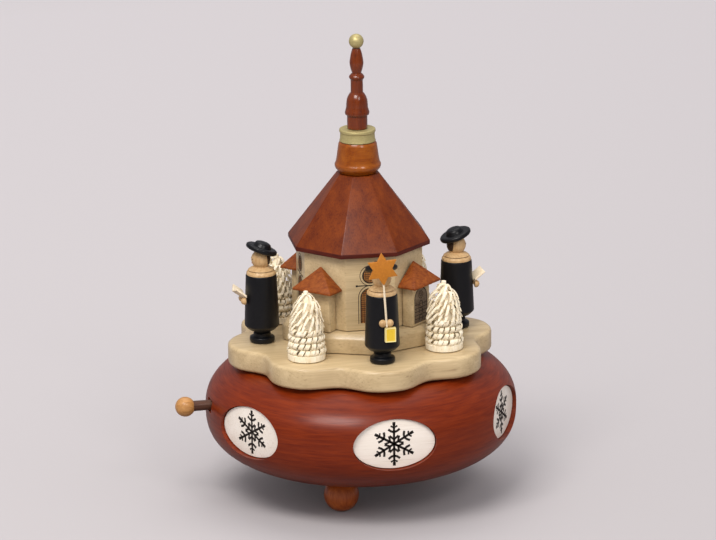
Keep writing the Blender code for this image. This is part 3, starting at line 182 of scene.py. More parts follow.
# Ball feet
# Three beech balls turned on a lathe, stained reddish brown and lacquered. Each is glued into
# the underside of the bowl by its peg.


def finish_shader(tree, shader, colour, grain, rough=None, relief=None):
    """Feeds a shader its colour, and makes its roughness and relief follow the grain.

    Roughness is for the lowest and highest grain, relief a strength and a depth in millimetres.
    """
    tree.links.new(colour, shader.inputs["Base Color"])
    if rough:
        dull = add_node(tree, "MapRange", (grain, 0, 1, *rough))
        tree.links.new(dull.outputs[0], shader.inputs["Roughness"])
    if relief:
        bump = {"Height": grain, "Strength": relief[0], "Distance": relief[1] * MM}
        bump = add_node(tree, "Bump", bump)
        tree.links.new(bump.outputs[0], shader.inputs["Normal"])


def wood(name, dark, light, stretch=(14, 0.5, 0.5), figure=3.2, roughness=0.4, coat=0.0, bump=0.15):
    """Wood whose fibres are as long and as wide as stretch says, in millimetres along x, y, z.

    Broad bands of figure, the width given, run the same way, and short dark pores lie in them.
    """
    material, tree, shader, here = start_material(
        name, coat_weight=coat, coat_roughness=0.16, specular_ior_level=0.28
    )
    fibre_scale = [1000 / s for s in stretch]
    band_scale = [1000 / (figure * (s / min(stretch)) ** 0.7) for s in stretch]
    along = add_node(tree, "Mapping", {"Vector": here, "Scale": fibre_scale})
    bands = add_node(tree, "Mapping", {"Vector": here, "Scale": band_scale})
    fibres = {"Vector": along, "Scale": 1, "Detail": 3, "Roughness": 0.6}
    fibres = add_node(tree, "TexNoise", fibres).outputs[0]
    figured = {"Vector": bands, "Scale": 1, "Detail": 2, "Distortion": 0.4}
    figured = add_node(tree, "TexNoise", figured).outputs[0]
    both = add_node(tree, "Mix", {0: 0.45, 2: figured, 3: fibres}, data_type="FLOAT")
    spread = add_node(tree, "MapRange", (both, 0.34, 0.66))
    colours = {0: spread, 6: linear(dark), 7: linear(light)}
    body = add_node(tree, "Mix", colours, data_type="RGBA").outputs[2]
    pores = add_node(tree, "MapRange", (fibres, 0.30, 0.40, 0.25, 0))
    colours = {0: pores, 6: body, 7: linear("8A6A50")}
    pored = add_node(tree, "Mix", colours, data_type="RGBA", blend_type="MULTIPLY")
    rough = (roughness + 0.08, roughness - 0.08)
    finish_shader(tree, shader, pored.outputs[2], fibres, rough, (bump, 0.05))
    return material


def start_tree(name, sizes):
    """A node tree that takes a mesh, the named sizes and a Finish, and gives a mesh."""
    tree = bpy.data.node_groups.new(name, "GeometryNodeTree")
    tree.interface.new_socket("Geometry", in_out="OUTPUT", socket_type="NodeSocketGeometry")
    for label, kind in {"Geometry": "Geometry", **sizes, "Finish": "Material"}.items():
        tree.interface.new_socket(label, in_out="INPUT", socket_type="NodeSocket" + kind)
    return tree, add_node(tree, "NodeGroupInput").outputs


def end_tree(tree, geometry, finish):
    """Realizes what the tree made, gives it its finish and sends it out."""
    real = add_node(tree, "RealizeInstances", {"Geometry": geometry})
    painted = add_node(tree, "SetMaterial", {"Geometry": real, "Material": finish})
    add_node(tree, "NodeGroupOutput", {"Geometry": painted})


def apply_modifiers(piece):
    graph = bpy.context.evaluated_depsgraph_get()
    result = bpy.data.meshes.new_from_object(piece.evaluated_get(graph), depsgraph=graph)
    piece.modifiers.clear()
    piece.data = result
    return piece


def run_tree(tree, piece, sizes):
    """Runs a tree on a piece, which becomes the plain mesh that the tree makes."""
    modifier = piece.modifiers.new(tree.name, "NODES")
    modifier.node_group = tree
    for socket in tree.interface.items_tree:
        if socket.in_out == "INPUT" and socket.name in sizes:
            modifier[socket.identifier] = sizes[socket.name]
    return apply_modifiers(piece)


def tidy(piece, crease=35):
    """Merges doubles, turns the faces outwards, and shades smooth up to the crease angle."""
    shape = bmesh.new()
    shape.from_mesh(piece.data)
    bmesh.ops.remove_doubles(shape, verts=shape.verts, dist=0.5e-6)
    bmesh.ops.dissolve_degenerate(shape, edges=shape.edges, dist=0.5e-6)
    bmesh.ops.recalc_face_normals(shape, faces=shape.faces)
    shape.to_mesh(piece.data)
    shape.free()
    piece.data.shade_smooth()
    piece.data.set_sharp_from_angle(angle=radians(crease))
    return piece


# The lathe sets the points of a profile round an axis, one row for each point of the profile.
lathe, given = start_tree("lathe", {"Steps": "Int", "Place": "Vector", "Turn": "Vector"})
put = partial(add_node, lathe)
profile = given["Geometry"]
rows = put("AttributeDomainSize", (profile,)).outputs["Point Count"]
stations = put("ADD", (given["Steps"], 1))
sheet = put("MeshGrid", {"Vertices X": stations, "Vertices Y": rows})
number = put("InputIndex")
row = put("MODULO", (number, rows))
step = put("DIVIDE", (number, rows))
step = put("FLOOR", (step,))
share = put("DIVIDE", (step, given["Steps"]))
angle = put("MULTIPLY", (share, tau))
position = put("InputPosition")
point = {"Geometry": profile, "Value": position, "Index": row}
point = put("SampleIndex", point, data_type="FLOAT_VECTOR")
point = put("VectorRotate", {"Vector": point, "Angle": angle}, rotation_type="Z_AXIS")
sheet = put("SetPosition", {"Geometry": sheet, "Position": point})
sheet = put("MergeByDistance", {"Geometry": sheet, "Distance": 1e-6})
set_up = {"Geometry": sheet, "Translation": given["Place"], "Rotation": given["Turn"]}
end_tree(lathe, put("Transform", set_up), given["Finish"])


def eased(points, steps=4):
    """The points of a profile in metres. A third number in millimetres rounds that corner."""
    flat = [Vector(p[:2]) * MM for p in points]
    rounded = []
    for i, point in enumerate(points):
        if len(point) < 3:
            rounded.append(flat[i])
            continue
        before, after = flat[i - 1] - flat[i], flat[(i + 1) % len(points)] - flat[i]
        opening = before.angle(after)
        reach = min(point[2] * MM / tan(opening / 2), before.length * 0.49, after.length * 0.49)
        first, last = before.normalized() * reach, after.normalized() * reach
        for k in range(steps + 1):
            t = k / steps
            rounded.append(flat[i] + first * (1 - t) ** 2 + last * t**2)
    return rounded


def drawn(name, lines, closed=False):
    """A piece of bare edges: each line is a list of points in metres, in two or three numbers."""
    points, edges = [], []
    for line in lines:
        start = len(points)
        points += [Vector(p).to_3d() for p in line]
        edges += [(i, i + 1) for i in range(start, len(points) - 1)]
        if closed:
            edges.append((len(points) - 1, start))
    mesh = bpy.data.meshes.new(name)
    mesh.from_pydata(points, edges, [])
    return add_object(name, mesh)


def turned(name, profile, finish, steps=72, place=(0, 0, 0), turn=(0, 0, 0), crease=35):
    """A piece turned to a profile of (radius, height) points in metres."""
    line = drawn(name, [[(r, 0, z) for r, z in profile]])
    sizes = {"Steps": steps, "Place": tuple(place), "Turn": turn, "Finish": finish}
    return tidy(run_tree(lathe, line, sizes), crease)


def fit(piece, slot, *nodes, body="turntable"):
    """Sets a piece on its body in place of these CAD nodes."""
    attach(piece, body)
    if nodes:
        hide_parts(*nodes)


def around(distance, azimuth, height=0):
    """The point at a distance from the turning axis, in metres."""
    turn = radians(azimuth)
    return Vector((AXIS_X + distance * sin(turn), -distance * cos(turn), height))


def ball_profile(radius, middle, low=-90, high=90, count=24):
    """Points on a ball from high to low, in degrees above its middle."""
    angles = [radians(high + (low - high) * i / count) for i in range(count + 1)]
    return [(abs(radius * cos(a)), middle + radius * sin(a)) for a in angles]


FOOT_RADIUS = 7.3 * MM
FOOT_MIDDLE = FOOT_RADIUS - 0.15 * MM
FOOT_CIRCLE = 28.7 * MM
FOOT_PLACES = {"foot_front": -30, "foot_right": 112, "foot_back": 188}
PEG_FOOT = 13.2
# Stained beech: a close, even wood with short flecks under a thin gloss lacquer
foot_beech = wood("stained beech, lacquered", "8A3A14", "B35E27", (0.5, 0.5, 5), 2.4, 0.34, 0.3)
foot_low = -degrees(asin(FOOT_MIDDLE / FOOT_RADIUS))
foot_high = degrees(asin((PEG_FOOT * MM - FOOT_MIDDLE) / FOOT_RADIUS))
foot_profile = eased([(0, 17.7), (2.2, 17.7, 0.3), (2.2, PEG_FOOT)])
foot_profile += ball_profile(FOOT_RADIUS, FOOT_MIDDLE, foot_low, foot_high, 32) + [(0, 0)]
for name, azimuth in FOOT_PLACES.items():
    foot = turned(f"{name}_ball", foot_profile, foot_beech, 64, around(FOOT_CIRCLE, azimuth))
    fit(foot, "foot_wood", name, body="base")

# Bowl
# The body of the box, turned from one block of mahogany, stained reddish brown and lacquered.
# It is hollow for the movement, with a rebate for the cover, six oval pockets and a lever slot.


def rounded_side(radius, half_height, power, start, end, count):
    """(radius, height) points on a rounded side, between two shares of its half height."""
    first, last = (copysign(asin(abs(s) ** (power / 2)), s) for s in (start, end))
    points = []
    for i in range(count + 1):
        a = first + (last - first) * i / count
        height = copysign(abs(sin(a)) ** (2 / power), a) * half_height
        points.append((radius * cos(a) ** (2 / power), BELLY + height))
    return points


def carve(piece, cutters):
    """Cuts each cutter out of the piece, and removes the cutter."""
    for cutter in cutters:
        cut = piece.modifiers.new("cut", "BOOLEAN")
        cut.operation = "DIFFERENCE"
        cut.solver = "EXACT"
        cut.object = cutter
        apply_modifiers(piece)
        bpy.data.objects.remove(cutter)
    for face in piece.data.polygons:
        face.material_index = len(piece.data.materials) - 1
    return piece


def set_down(name, shape, *finishes):
    """A new object from a bmesh, with its finishes."""
    mesh = bpy.data.meshes.new(name)
    shape.to_mesh(mesh)
    shape.free()
    for finish in finishes:
        mesh.materials.append(finish)
    return add_object(name, mesh)


def slab(name, outline, thickness, place, bevel=0.0, *finishes):
    """A flat piece sawn to an outline in XY, its face at z = 0, then set in its place.

    The outline, the thickness and the bevel are in millimetres.
    """
    shape = bmesh.new()
    face = shape.faces.new([shape.verts.new((x * MM, y * MM, 0)) for x, y in outline])
    made = bmesh.ops.extrude_face_region(shape, geom=[face])
    moved = [v for v in made["geom"] if isinstance(v, bmesh.types.BMVert)]
    bmesh.ops.translate(shape, vec=(0, 0, -thickness * MM), verts=moved)
    bmesh.ops.recalc_face_normals(shape, faces=shape.faces)
    if bevel:
        sharp = [e for e in shape.edges if e.calc_face_angle(0) > 0.7]
        width = bevel * MM
        bmesh.ops.bevel(shape, geom=sharp, offset=width, segments=3, profile=0.5, affect="EDGES")
    bmesh.ops.transform(shape, matrix=place, verts=shape.verts)
    return set_down(name, shape, *finishes)


def oval(width, height, count=96, middle=0.0):
    """The outline of an oval in millimetres, its middle this far up."""
    turns = [tau * i / count for i in range(count)]
    return [(width / 2 * cos(t), middle + height / 2 * sin(t)) for t in turns]


def facing_out(azimuth, distance, height, along=0.0):
    """Stands a flat drawing up round the origin: its x runs along a wall, its z looks out."""
    turn = Matrix.Rotation(radians(azimuth), 4, "Z")
    spot = Matrix.Translation((along, -distance, height))
    return turn @ spot @ Matrix.Rotation(pi / 2, 4, "X")


ON_AXIS = (AXIS_X, 0, 0)
TO_AXIS = Matrix.Translation(ON_AXIS)
RADIUS, HALF_HEIGHT = 65 * MM, 27 * MM
BOWL_TOP = 58
BELLY = 38.4 * MM
OVALS = 6
OVAL_FACE = 61 * MM
OVAL_MIDDLE = 39 * MM
HOLLOW = 58 * MM
# Mahogany stain on hardwood under satin lacquer: fine level pores, red to dark brown
mahogany = wood("mahogany stain, lacquered", "641C04", "802D07", (9, 9, 0.3), 1.2, 0.34, 0.05, 0.1)
bowl_profile = rounded_side(RADIUS, HALF_HEIGHT, 2.42, 19.6 / 27, 0, 26)
bowl_profile += rounded_side(RADIUS, HALF_HEIGHT, 2.65, 0, -24.9 / 27, 30)[1:]
bowl_profile += eased([(2.1, 13.5), (2.1, 21)])
bowl_profile += rounded_side(HOLLOW, 20.4 * MM, 3, -17.4 / 20.4, 0, 10)
bowl_profile += rounded_side(HOLLOW, 15.6 * MM, 3, 0, 0.896, 10)[1:]
bowl_profile += eased([(38, 54.7), (41.8, 54.7), (41.8, BOWL_TOP - 0.4), (42.2, BOWL_TOP)])
bowl_profile.append(bowl_profile[0])
bowl = turned("turned_bowl", bowl_profile, mahogany, 168, ON_AXIS)
cutters = []
for i in range(OVALS):
    pocket_place = TO_AXIS @ facing_out(i * 360 / OVALS, 70 * MM, OVAL_MIDDLE)
    cutters.append(slab(f"pocket_{i}", oval(35, 21.4), 10.5, pocket_place))
slot_place = Matrix.Translation((AXIS_X - 50 * MM, 0, 45 * MM))
cutters.append(slab("slot", [(-20, -4.05), (0, -4.05), (0, 4.05), (-20, 4.05)], 5, slot_place))
for azimuth in FOOT_PLACES.values():
    hole_place = Matrix.Translation(around(FOOT_CIRCLE, azimuth, 18 * MM))
    cutters.append(slab("peg_hole", oval(5, 5, 32), 8, hole_place))
fit(tidy(carve(bowl, cutters), 32), "stained_mahogany", "body_bowl", body="base")

# Oval inlays
# Six ovals of whitened maple veneer-ply, glued into the pockets. A snowflake is burnt into each.

# The ring sets copies of a flat drawing or a piece round an upright axis through Centre.
ring, given = start_tree("ring", {"Copies": "Int", "Between": "Float", "Centre": "Vector"})
spots = add_node(ring, "Points", {"Count": given["Copies"]})
number = add_node(ring, "InputIndex")
spin = add_node(ring, "MULTIPLY", (number, given["Between"]))
spin = add_node(ring, "CombineXYZ", {"Z": spin})
copies = {"Points": spots, "Instance": given["Geometry"], "Rotation": spin}
copies = add_node(ring, "InstanceOnPoints", copies)
centred = {"Geometry": copies, "Translation": given["Centre"]}
end_tree(ring, add_node(ring, "Transform", centred), given["Finish"])

# The burning tip runs along every line of a drawing that lies flat, and leaves a bar of this
# width, which stands proud by half of Depth so that it shows.
burning, given = start_tree("burning tip", {"Width": "Float", "Depth": "Float"})
path = add_node(burning, "MeshToCurve", (given["Geometry"],))
path = add_node(burning, "SetCurveNormal", (path,), mode="Z_UP")
tip = {"Width": given["Width"], "Height": given["Depth"]}
tip = add_node(burning, "CurvePrimitiveQuadrilateral", tip)
stroke = {"Curve": path, "Profile Curve": tip, "Fill Caps": True}
end_tree(burning, add_node(burning, "CurveToMesh", stroke), given["Finish"])


def burnt(lines, width, closed=False):
    """Burns lines of points in millimetres, and gives the marks as a flat piece."""
    drawing = drawn("marks", [[(x * MM, y * MM) for x, y in line] for line in lines], closed)
    sizes = {"Width": width * MM, "Depth": 0.12 * MM, "Finish": char}
    return tidy(run_tree(burning, drawing, sizes), 50)


def joined(name, pieces):
    """One piece from several, which are finished and share a body."""
    shape = bmesh.new()
    first = pieces[0]
    materials = []
    for piece in pieces:
        slots = []
        for material in piece.data.materials:
            if material not in materials:
                materials.append(material)
            slots.append(materials.index(material))
        start = len(shape.faces)
        shape.from_mesh(piece.data)
        shape.faces.ensure_lookup_table()
        for face in shape.faces[start:]:
            face.material_index = slots[face.material_index]
    first.data.materials.clear()
    for material in materials:
        first.data.materials.append(material)
    shape.to_mesh(first.data)
    shape.free()
    for piece in pieces[1:]:
        bpy.data.objects.remove(piece)
    first.name = name
    return first


def speckled(name, low, high, fineness, rough=None, detail=3, relief=None, how="MIX", **values):
    """A finish of two colours in specks, which are as many to the millimetre as fineness says."""
    material, tree, shader, here = start_material(name, **values)
    specks = {"Vector": here, "Scale": fineness / MM, "Detail": detail}
    specks = add_node(tree, "TexNoise", specks).outputs[0]
    colours = {0: specks, 6: linear(low), 7: linear(high)}
    mixed = add_node(tree, "Mix", colours, data_type="RGBA", blend_type=how)
    finish_shader(tree, shader, mixed.outputs[2], specks, rough, relief)
    return material


# Whitened maple: almost no grain, a dull silky face
white_maple = wood("whitened maple, waxed", "EDE2D2", "F8F0E4", (16, 0.5, 0.5), 4, 0.5, 0.15, 0.05)
# Burnt wood: nearly black, dry and a little uneven where the tip rested
char = speckled("burnt wood", "120D09", "2C1F16", 1.8, detail=2, roughness=0.75)

six_round = {"Copies": OVALS, "Between": tau / OVALS}
to_oval = facing_out(0, OVAL_FACE, OVAL_MIDDLE)
inlays = slab("oval_inlays", oval(34.4, 20.8), 1.2, to_oval, 0.15)
run_tree(ring, inlays, six_round | {"Centre": ON_AXIS, "Finish": white_maple})
inlay_nodes = [f"oval_inlay_{i + 1}" for i in range(OVALS)]
fit(tidy(inlays, 40), "white_inlay_wood", *inlay_nodes, body="base")

arm_lines = [
    [(0, 0), (0, 8.6)],
    [(-1.9, 3.5), (0, 1.9), (1.9, 3.5)],
    [(-2.4, 6.3), (-1.2, 5.4), (0, 5.0), (1.2, 5.4), (2.4, 6.3)],
]
arm_parts = [
    burnt(arm_lines, 0.95),
    burnt([[(-1.4, 7.7), (0, 6.9), (1.4, 7.7)]], 0.7),
    burnt([[(0, 7.9), (0, 9.3)]], 1.2),
]
snowflakes = joined("burnt_snowflakes", arm_parts)
run_tree(ring, snowflakes, six_round | {"Finish": char})
snowflakes.data.transform(to_oval)
run_tree(ring, snowflakes, six_round | {"Centre": ON_AXIS, "Finish": char})
fit(tidy(snowflakes, 50), "white_inlay_wood", body="base")

# Start and stop lever
# A turned rod on a steel pin in the slot, with a natural wooden knob glued on its end. Inside,
# its thin wire reaches the fan of the movement and lets it turn or holds it.
to_lever = (AXIS_X - 60.5 * MM, 0, 42.5 * MM)
lying = (0, pi / 2, 0)
# Dark stained rod and natural, waxed knob: both straight grained, turned along the grain
rod_wood = wood("dark stained rod", "3F2418", "5F3C2A", (12, 0.4, 0.4), 2, 0.5, 0.1)
knob_wood = wood("natural knob, waxed", "A8753E", "C69257", (7, 0.5, 0.5), 1.6, 0.42, 0.25)
rod_profile = eased([(0, 14.888), (0.6, 14.888, 0.2), (0.6, 8.5), (2.2, 8.5, 0.4)])
rod_profile += eased([(2.2, -12.85), (0, -12.85)])
rod = turned("lever_turned_rod", rod_profile, rod_wood, 32, to_lever, lying)
fit(rod, "dark_rod_wood", "lever_rod", body="lever")
knob_profile = eased([(0, -13.15), (2.5, -13.15)])
knob_profile += ball_profile(4.15 * MM, -14.3 * MM, -90, 53, 26)
knob = turned("lever_turned_knob", knob_profile, knob_wood, 48, to_lever, lying)
fit(knob, "knob_wood", "lever_knob", body="lever")

# Cover and movement
# The comb movement sits on the floor of the bowl under a plywood cover. Its zinc bedplate and
# frame, steel comb and shafts, and brass barrel, cylinder and wheels are cast, cut or turned.


def metal(name, colour, roughness, grit):
    """Metal with fine tool marks, whose width is given in millimetres, and a thin tarnish."""
    rough = (roughness - 0.06, roughness + 0.1)
    finish = (name, colour, "D0CCC4", 1 / grit, rough, 3, (0.2, 0.03), "MULTIPLY")
    return speckled(*finish, metallic=1.0)


# Birch plywood: pale and plain, its face veneer cut along the grain
cover_ply = wood("birch plywood", "C9A676", "DDBF92", (18, 0.6, 0.6), 5, 0.55)
# Cast zinc is grey and dull, steel bright with fine marks, and turned brass warm and clean
zinc = metal("cast zinc", "A3A5A6", 0.42, 0.5)
steel = metal("bright steel", "C2C4C8", 0.24, 0.3)
brass = metal("turned brass", "D2AC5B", 0.26, 0.35)
KEPT_NODES = {
    cover_ply: ["top_cover"],
    zinc: ["movement_bedplate", "governor_frame"],
    steel: ["tone_comb", "lever_pin", "worm_and_fan", "mainspring"],
    brass: ["pinned_cylinder", "governor_wheel", "spring_barrel"],
}
for finish, nodes in KEPT_NODES.items():
    for node in nodes:
        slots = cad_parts[node].data.materials
        slots.clear()
        slots.append(finish)

# Winding key
# A plated steel wing key on a square-ended shaft, under the middle of the bowl.
shaft_line = [(0, 36.4), (1.8, 36.4, 0.3), (1.8, 12.5), (2.6, 12.5, 0.4), (2.6, 2.9, 0.8), (0, 2.9)]
key_parts = [turned("key_shaft", eased(shaft_line), steel, 32, ON_AXIS)]
wing_profile = eased([(0, 0.9), (4.5, 0.9, 0.5), (4.5, -0.9, 0.5), (0, -0.9)])
for side in (-1, 1):
    place = (AXIS_X + side * 6 * MM, 0, 5.5 * MM)
    key_parts.append(turned("key_wing", wing_profile, steel, 40, place, (pi / 2, 0, 0)))
fit(joined("wing_key", key_parts), "steel", "winding_key", body="key")

# Turning plate
# Sawn from pale maple to eight lobes, its edge moulded round, waxed. The barrel's spindle is
# pressed into it, so the whole winter scene turns with it.
LOBES = 8
OUTLINE_STEPS = 288
# Pale maple: close grained, cream to straw, with a soft wax gloss
maple = wood("pale maple, waxed", "B9A178", "D1BA8F", (22, 0.7, 0.7), 4.5, 0.34, 0.3, 0.08)
plate_outline = []
for i in range(OUTLINE_STEPS):
    turn = tau * i / OUTLINE_STEPS
    wave = LOBES * (turn + pi / 2)
    radius = 52.9 + 3.4 * cos(wave) - 0.5 * cos(2 * wave)
    plate_outline.append((radius * cos(turn), radius * sin(turn)))
plate_place = Matrix.Translation((AXIS_X, 0, 68.2 * MM))
plate = slab("lobed_plate", plate_outline, 9.15, plate_place, 1.6, maple)
socket = slab("socket", oval(5.6, 5.6, 32), 7, Matrix.Translation((AXIS_X, 0, 64.35 * MM)))
fit(tidy(carve(plate, [socket]), 40), "pale_maple", "turntable_plate")

# Church
# An eight-sided plinth and nave of the same maple, glued together. Doors and round windows are
# burnt into the four walls that have no porch.
CHURCH_TURN = radians(-2.2)
ROOF_TURN = radians(-4)
EIGHTH = pi / 8
WALL = 24.8


def prism(name, profile, finish, turn, edge):
    """An eight-sided piece whose corners stand at this turn, its arrises broken."""
    piece = turned(name, profile, finish, 8, ON_AXIS, (0, 0, turn), 1)
    bevel = piece.modifiers.new("arris", "BEVEL")
    bevel.width = edge * MM
    bevel.segments = 2
    bevel.limit_method = "ANGLE"
    bevel.angle_limit = radians(20)
    return tidy(apply_modifiers(piece), 18)


plinth_profile = eased([(0, 76.8), (31.1, 76.8), (32.9, 74.6, 0.9), (32.9, 68.5), (0, 68.5)])
plinth = prism("maple_plinth", plinth_profile, maple, CHURCH_TURN, 0.5)
nave_radius = WALL / cos(EIGHTH)
nave_profile = eased([(0, 108.5), (nave_radius, 108.5), (nave_radius, 77.1), (0, 77.1)])
nave = prism("maple_nave", nave_profile, maple, CHURCH_TURN + EIGHTH, 0.4)
fit(plinth, "pale_maple", "church_plinth")
fit(nave, "pale_maple", "church_nave")

# Brown scorched panel: the wood that the burning tip shades evenly, fine grain showing through
scorched = wood("scorched maple", "8A5226", "B27A3F", (9, 0.4, 0.4), 2, 0.6)


def arch(half, low, spring, count=14):
    """A door or window outline in millimetres: upright sides up to spring, then a round head."""
    head = [pi * i / count for i in range(count + 1)]
    points = [(half, low)] + [(half * cos(a), spring + half * sin(a)) for a in head]
    return points + [(-half, low)]


def lattice(half, low, high, spacing, inside):
    """Upright and level lines a spacing apart, each kept to where inside says it lies."""
    lines = []
    count = int(half / spacing)
    for i in range(-count, count + 1):
        x = i * spacing
        ys = [y for y in (low + k * 0.1 for k in range(int((high - low) * 10) + 1)) if inside(x, y)]
        if ys:
            lines.append([(x, ys[0]), (x, ys[-1])])
    for k in range(1, int((high - low) / spacing) + 1):
        y = low + k * spacing
        xs = [x for x in (-half + j * 0.1 for j in range(int(half * 20) + 1)) if inside(x, y)]
        if xs and xs[-1] - xs[0] > 0.3:
            lines.append([(xs[0], y), (xs[-1], y)])
    return lines


def flat_panel(outline, finish, proud=0.03):
    """A shaded panel that stands proud of the wall by a hair, so that it shows."""
    return slab("panel", outline, 2 * proud, Matrix.Translation((0, 0, proud * MM)), 0, finish)


SPRING = 91.0
ROSE = 100.4
door_lines = lattice(4, 80.2, 95, 0.9, lambda x, y: y < SPRING or hypot(x, y - SPRING) < 3.9)
rose_lines = lattice(3.1, 97.3, 103.5, 0.9, lambda x, y: hypot(x, y - ROSE) < 3.0)
door_parts = [
    flat_panel(arch(4.0, 80.2, SPRING), scorched),
    flat_panel(oval(6.2, 6.2, 32, ROSE), scorched),
    burnt([arch(5.0, 80, 91.2)], 0.25),
    burnt([arch(4.05, 80.2, SPRING)], 0.35),
    burnt([oval(8.6, 8.6, 32, ROSE)], 0.25, True),
    burnt([oval(6.3, 6.3, 32, ROSE)], 0.5, True),
    burnt([[(-5.5, 96.2), (5.5, 96.2)]], 0.4),
    burnt([[(x, 95.8), (x, 96.6)] for x in (-5.7, 5.7)], 0.8),
    burnt(door_lines, 0.22),
    burnt(rose_lines, 0.22),
]
door = joined("door_marks", door_parts)
door.data.transform(facing_out(0, WALL * MM, 0))
doors = []
for i in range(4):
    doors.append(add_object(f"door_marks_{i}", door.data.copy()))
    doors[i].data.transform(TO_AXIS @ Matrix.Rotation(CHURCH_TURN + i * pi / 2, 4, "Z"))
bpy.data.objects.remove(door)
fit(tidy(joined("burnt_doors", doors), 50), "pale_maple")

# Church roof
# One eight-sided block, stained red brown and lacquered, set on the walls a little askew.
RIM = 110.6 * MM
# Roof stain: red brown over long upright grain. The rim is nearly black red, a darker stain with
# painted shade
roof_wood = wood("roof stain, lacquered", "591E02", "7C3605", (0.5, 0.5, 16), 4, 0.38, 0.1)
rim_stain_and_shade = wood("roof rim stain and painted shade", "43140A", "5C1E0E", (6, 6, 0.4), 2, 0.45)
roof_profile = eased([(0, 138.1), (9, 138.1), (30.3, 110.5), (30.3, 108.8), (0, 108.8)])
roof = prism("stained_roof", roof_profile, roof_wood, ROOF_TURN + EIGHTH, 0.15)
roof.data.materials.append(rim_stain_and_shade)
# The rim and the underside get the darker finish: a darker stain with painted shade
for face in roof.data.polygons:
    if face.center.z < RIM:
        face.material_index = len(roof.data.materials) - 1
fit(roof, "roof_wood", "church_roof")

# Porches
# Four maple blocks glued to the slanting walls, each under half a pyramid of red stained wood.
# An arched window is burnt into every other one.
PORCH_SHIFTS = (1, 0, 0, -0.9)
PORCH_BACK = 25.1
PORCH_DEPTH = 4.9
PORCH_FACE = [(-6.3, 77.1), (6.3, 77.1), (6.3, 93.7), (-6.3, 93.7)]
EAVES = (94.0, 94.9)
PEAK = 103.8
# Red stain: thin and matt, with the grain showing. Scorched window: a dull grey brown shading
red_wood = wood("red stain, matt", "713009", "975018", (6, 0.6, 0.6), 1.4, 0.55)
glazing = wood("scorched window", "5E4E3D", "8A7862", (6, 0.4, 0.4), 2, 0.6)
for i, shift in enumerate(PORCH_SHIFTS):
    azimuth = 42.8 + 90 * i
    to_face = TO_AXIS @ facing_out(azimuth, (PORCH_BACK + PORCH_DEPTH) * MM, 0, shift * MM)
    block = slab(f"maple_porch_{i + 1}", PORCH_FACE, PORCH_DEPTH, to_face, 0.25, maple)
    fit(tidy(block, 40), "pale_maple", f"annex_{i + 1}")
    if i % 2 == 0:
        edge = arch(4.5, 78, 88.2)
        rings = [oval(3, 3, 20, 89.7), oval(1.4, 1.4, 14, 89.7)]
        bars = lattice(4.4, 78.3, 88, 1.5, lambda x, y: y < 87)
        parts = [
            flat_panel(edge, glazing),
            burnt([edge], 0.4),
            burnt(rings, 0.3, True),
            burnt([arch(1.0, y, y + 1.2, 8) for y in (79, 82, 85)], 0.3),
            burnt(bars, 0.25),
        ]
        window = joined(f"porch_window_{i + 1}", parts)
        window.data.transform(to_face)
        fit(tidy(window, 50), "pale_maple")
    shape = bmesh.new()
    for x in (-9.5, 9.5):
        for y in (-PORCH_BACK - 8.5, -PORCH_BACK):
            for z in EAVES:
                shape.verts.new((x + shift, y, z))
    shape.verts.new((shift, -PORCH_BACK - 1.2, PEAK))
    bmesh.ops.convex_hull(shape, input=shape.verts)
    bmesh.ops.dissolve_limit(shape, angle_limit=0.01, verts=shape.verts, edges=shape.edges)
    sharp = [e for e in shape.edges if e.calc_face_angle(0) > 0.3]
    bmesh.ops.bevel(shape, geom=sharp, offset=0.25, segments=2, profile=0.5, affect="EDGES")
    place = TO_AXIS @ Matrix.Rotation(radians(azimuth), 4, "Z") @ Matrix.Scale(MM, 4)
    bmesh.ops.transform(shape, matrix=place, verts=shape.verts)
    porch_roof = tidy(set_down(f"red_porch_roof_{i + 1}", shape, red_wood), 25)
    fit(porch_roof, "red_stained_wood", f"annex_roof_{i + 1}")

# Tower
# Collar, gilt band, baluster spire and ball, all turned and pegged one on another.


def through(points, per_span=5):
    """More points on a smooth line through these, in the same units."""
    dense = []
    ends = [Vector(p) for p in (points[0], *points, points[-1])]
    for before, a, b, after in zip(ends, ends[1:], ends[2:], ends[3:]):
        bend = 2 * before - 5 * a + 4 * b - after
        swing = 3 * a - before - 3 * b + after
        for t in (k / per_span for k in range(per_span)):
            dense.append(((2 * a) + (b - before) * t + bend * t**2 + swing * t**3) / 2)
    return [tuple(p) for p in dense + ends[-1:]]


# Light roof stain: orange brown under a gloss lacquer
collar_wood = wood("light roof stain, lacquered", "7E3A06", "9C5410", (10, 0.5, 0.5), 3, 0.3, 0.5)
collar_line = [(7.95, 150.4), (8.2, 148.6), (8.65, 145.4), (9.1, 142.9), (9.6, 141.6), (9.2, 140.1)]
collar_side = through(collar_line + [(7.6, 138.4)])
collar_profile = eased([(0, 151.4), (7.35, 151.4)] + collar_side + [(0, 138.4)])

# Gold paint: metal flakes in a clear binder over a turned surface, dull gold with bright edges
gold = speckled("gold paint", "A6955A", "D8CC94", 2.6, (0.34, 0.56), metallic=0.5)
band_profile = eased([(0, 156.7), (7.5, 156.7, 0.5), (7.5, 155.6, 0.2), (7.25, 155.2, 0.2)])
band_profile += eased([(7.25, 152.4), (7.5, 151.9), (7.5, 151.7), (0, 151.7)])

# Spire stain: the darkest red brown, with a high gloss
spire_wood = wood("spire stain, lacquered", "571F07", "77330E", (0.5, 0.5, 12), 3, 0.28, 0.6)
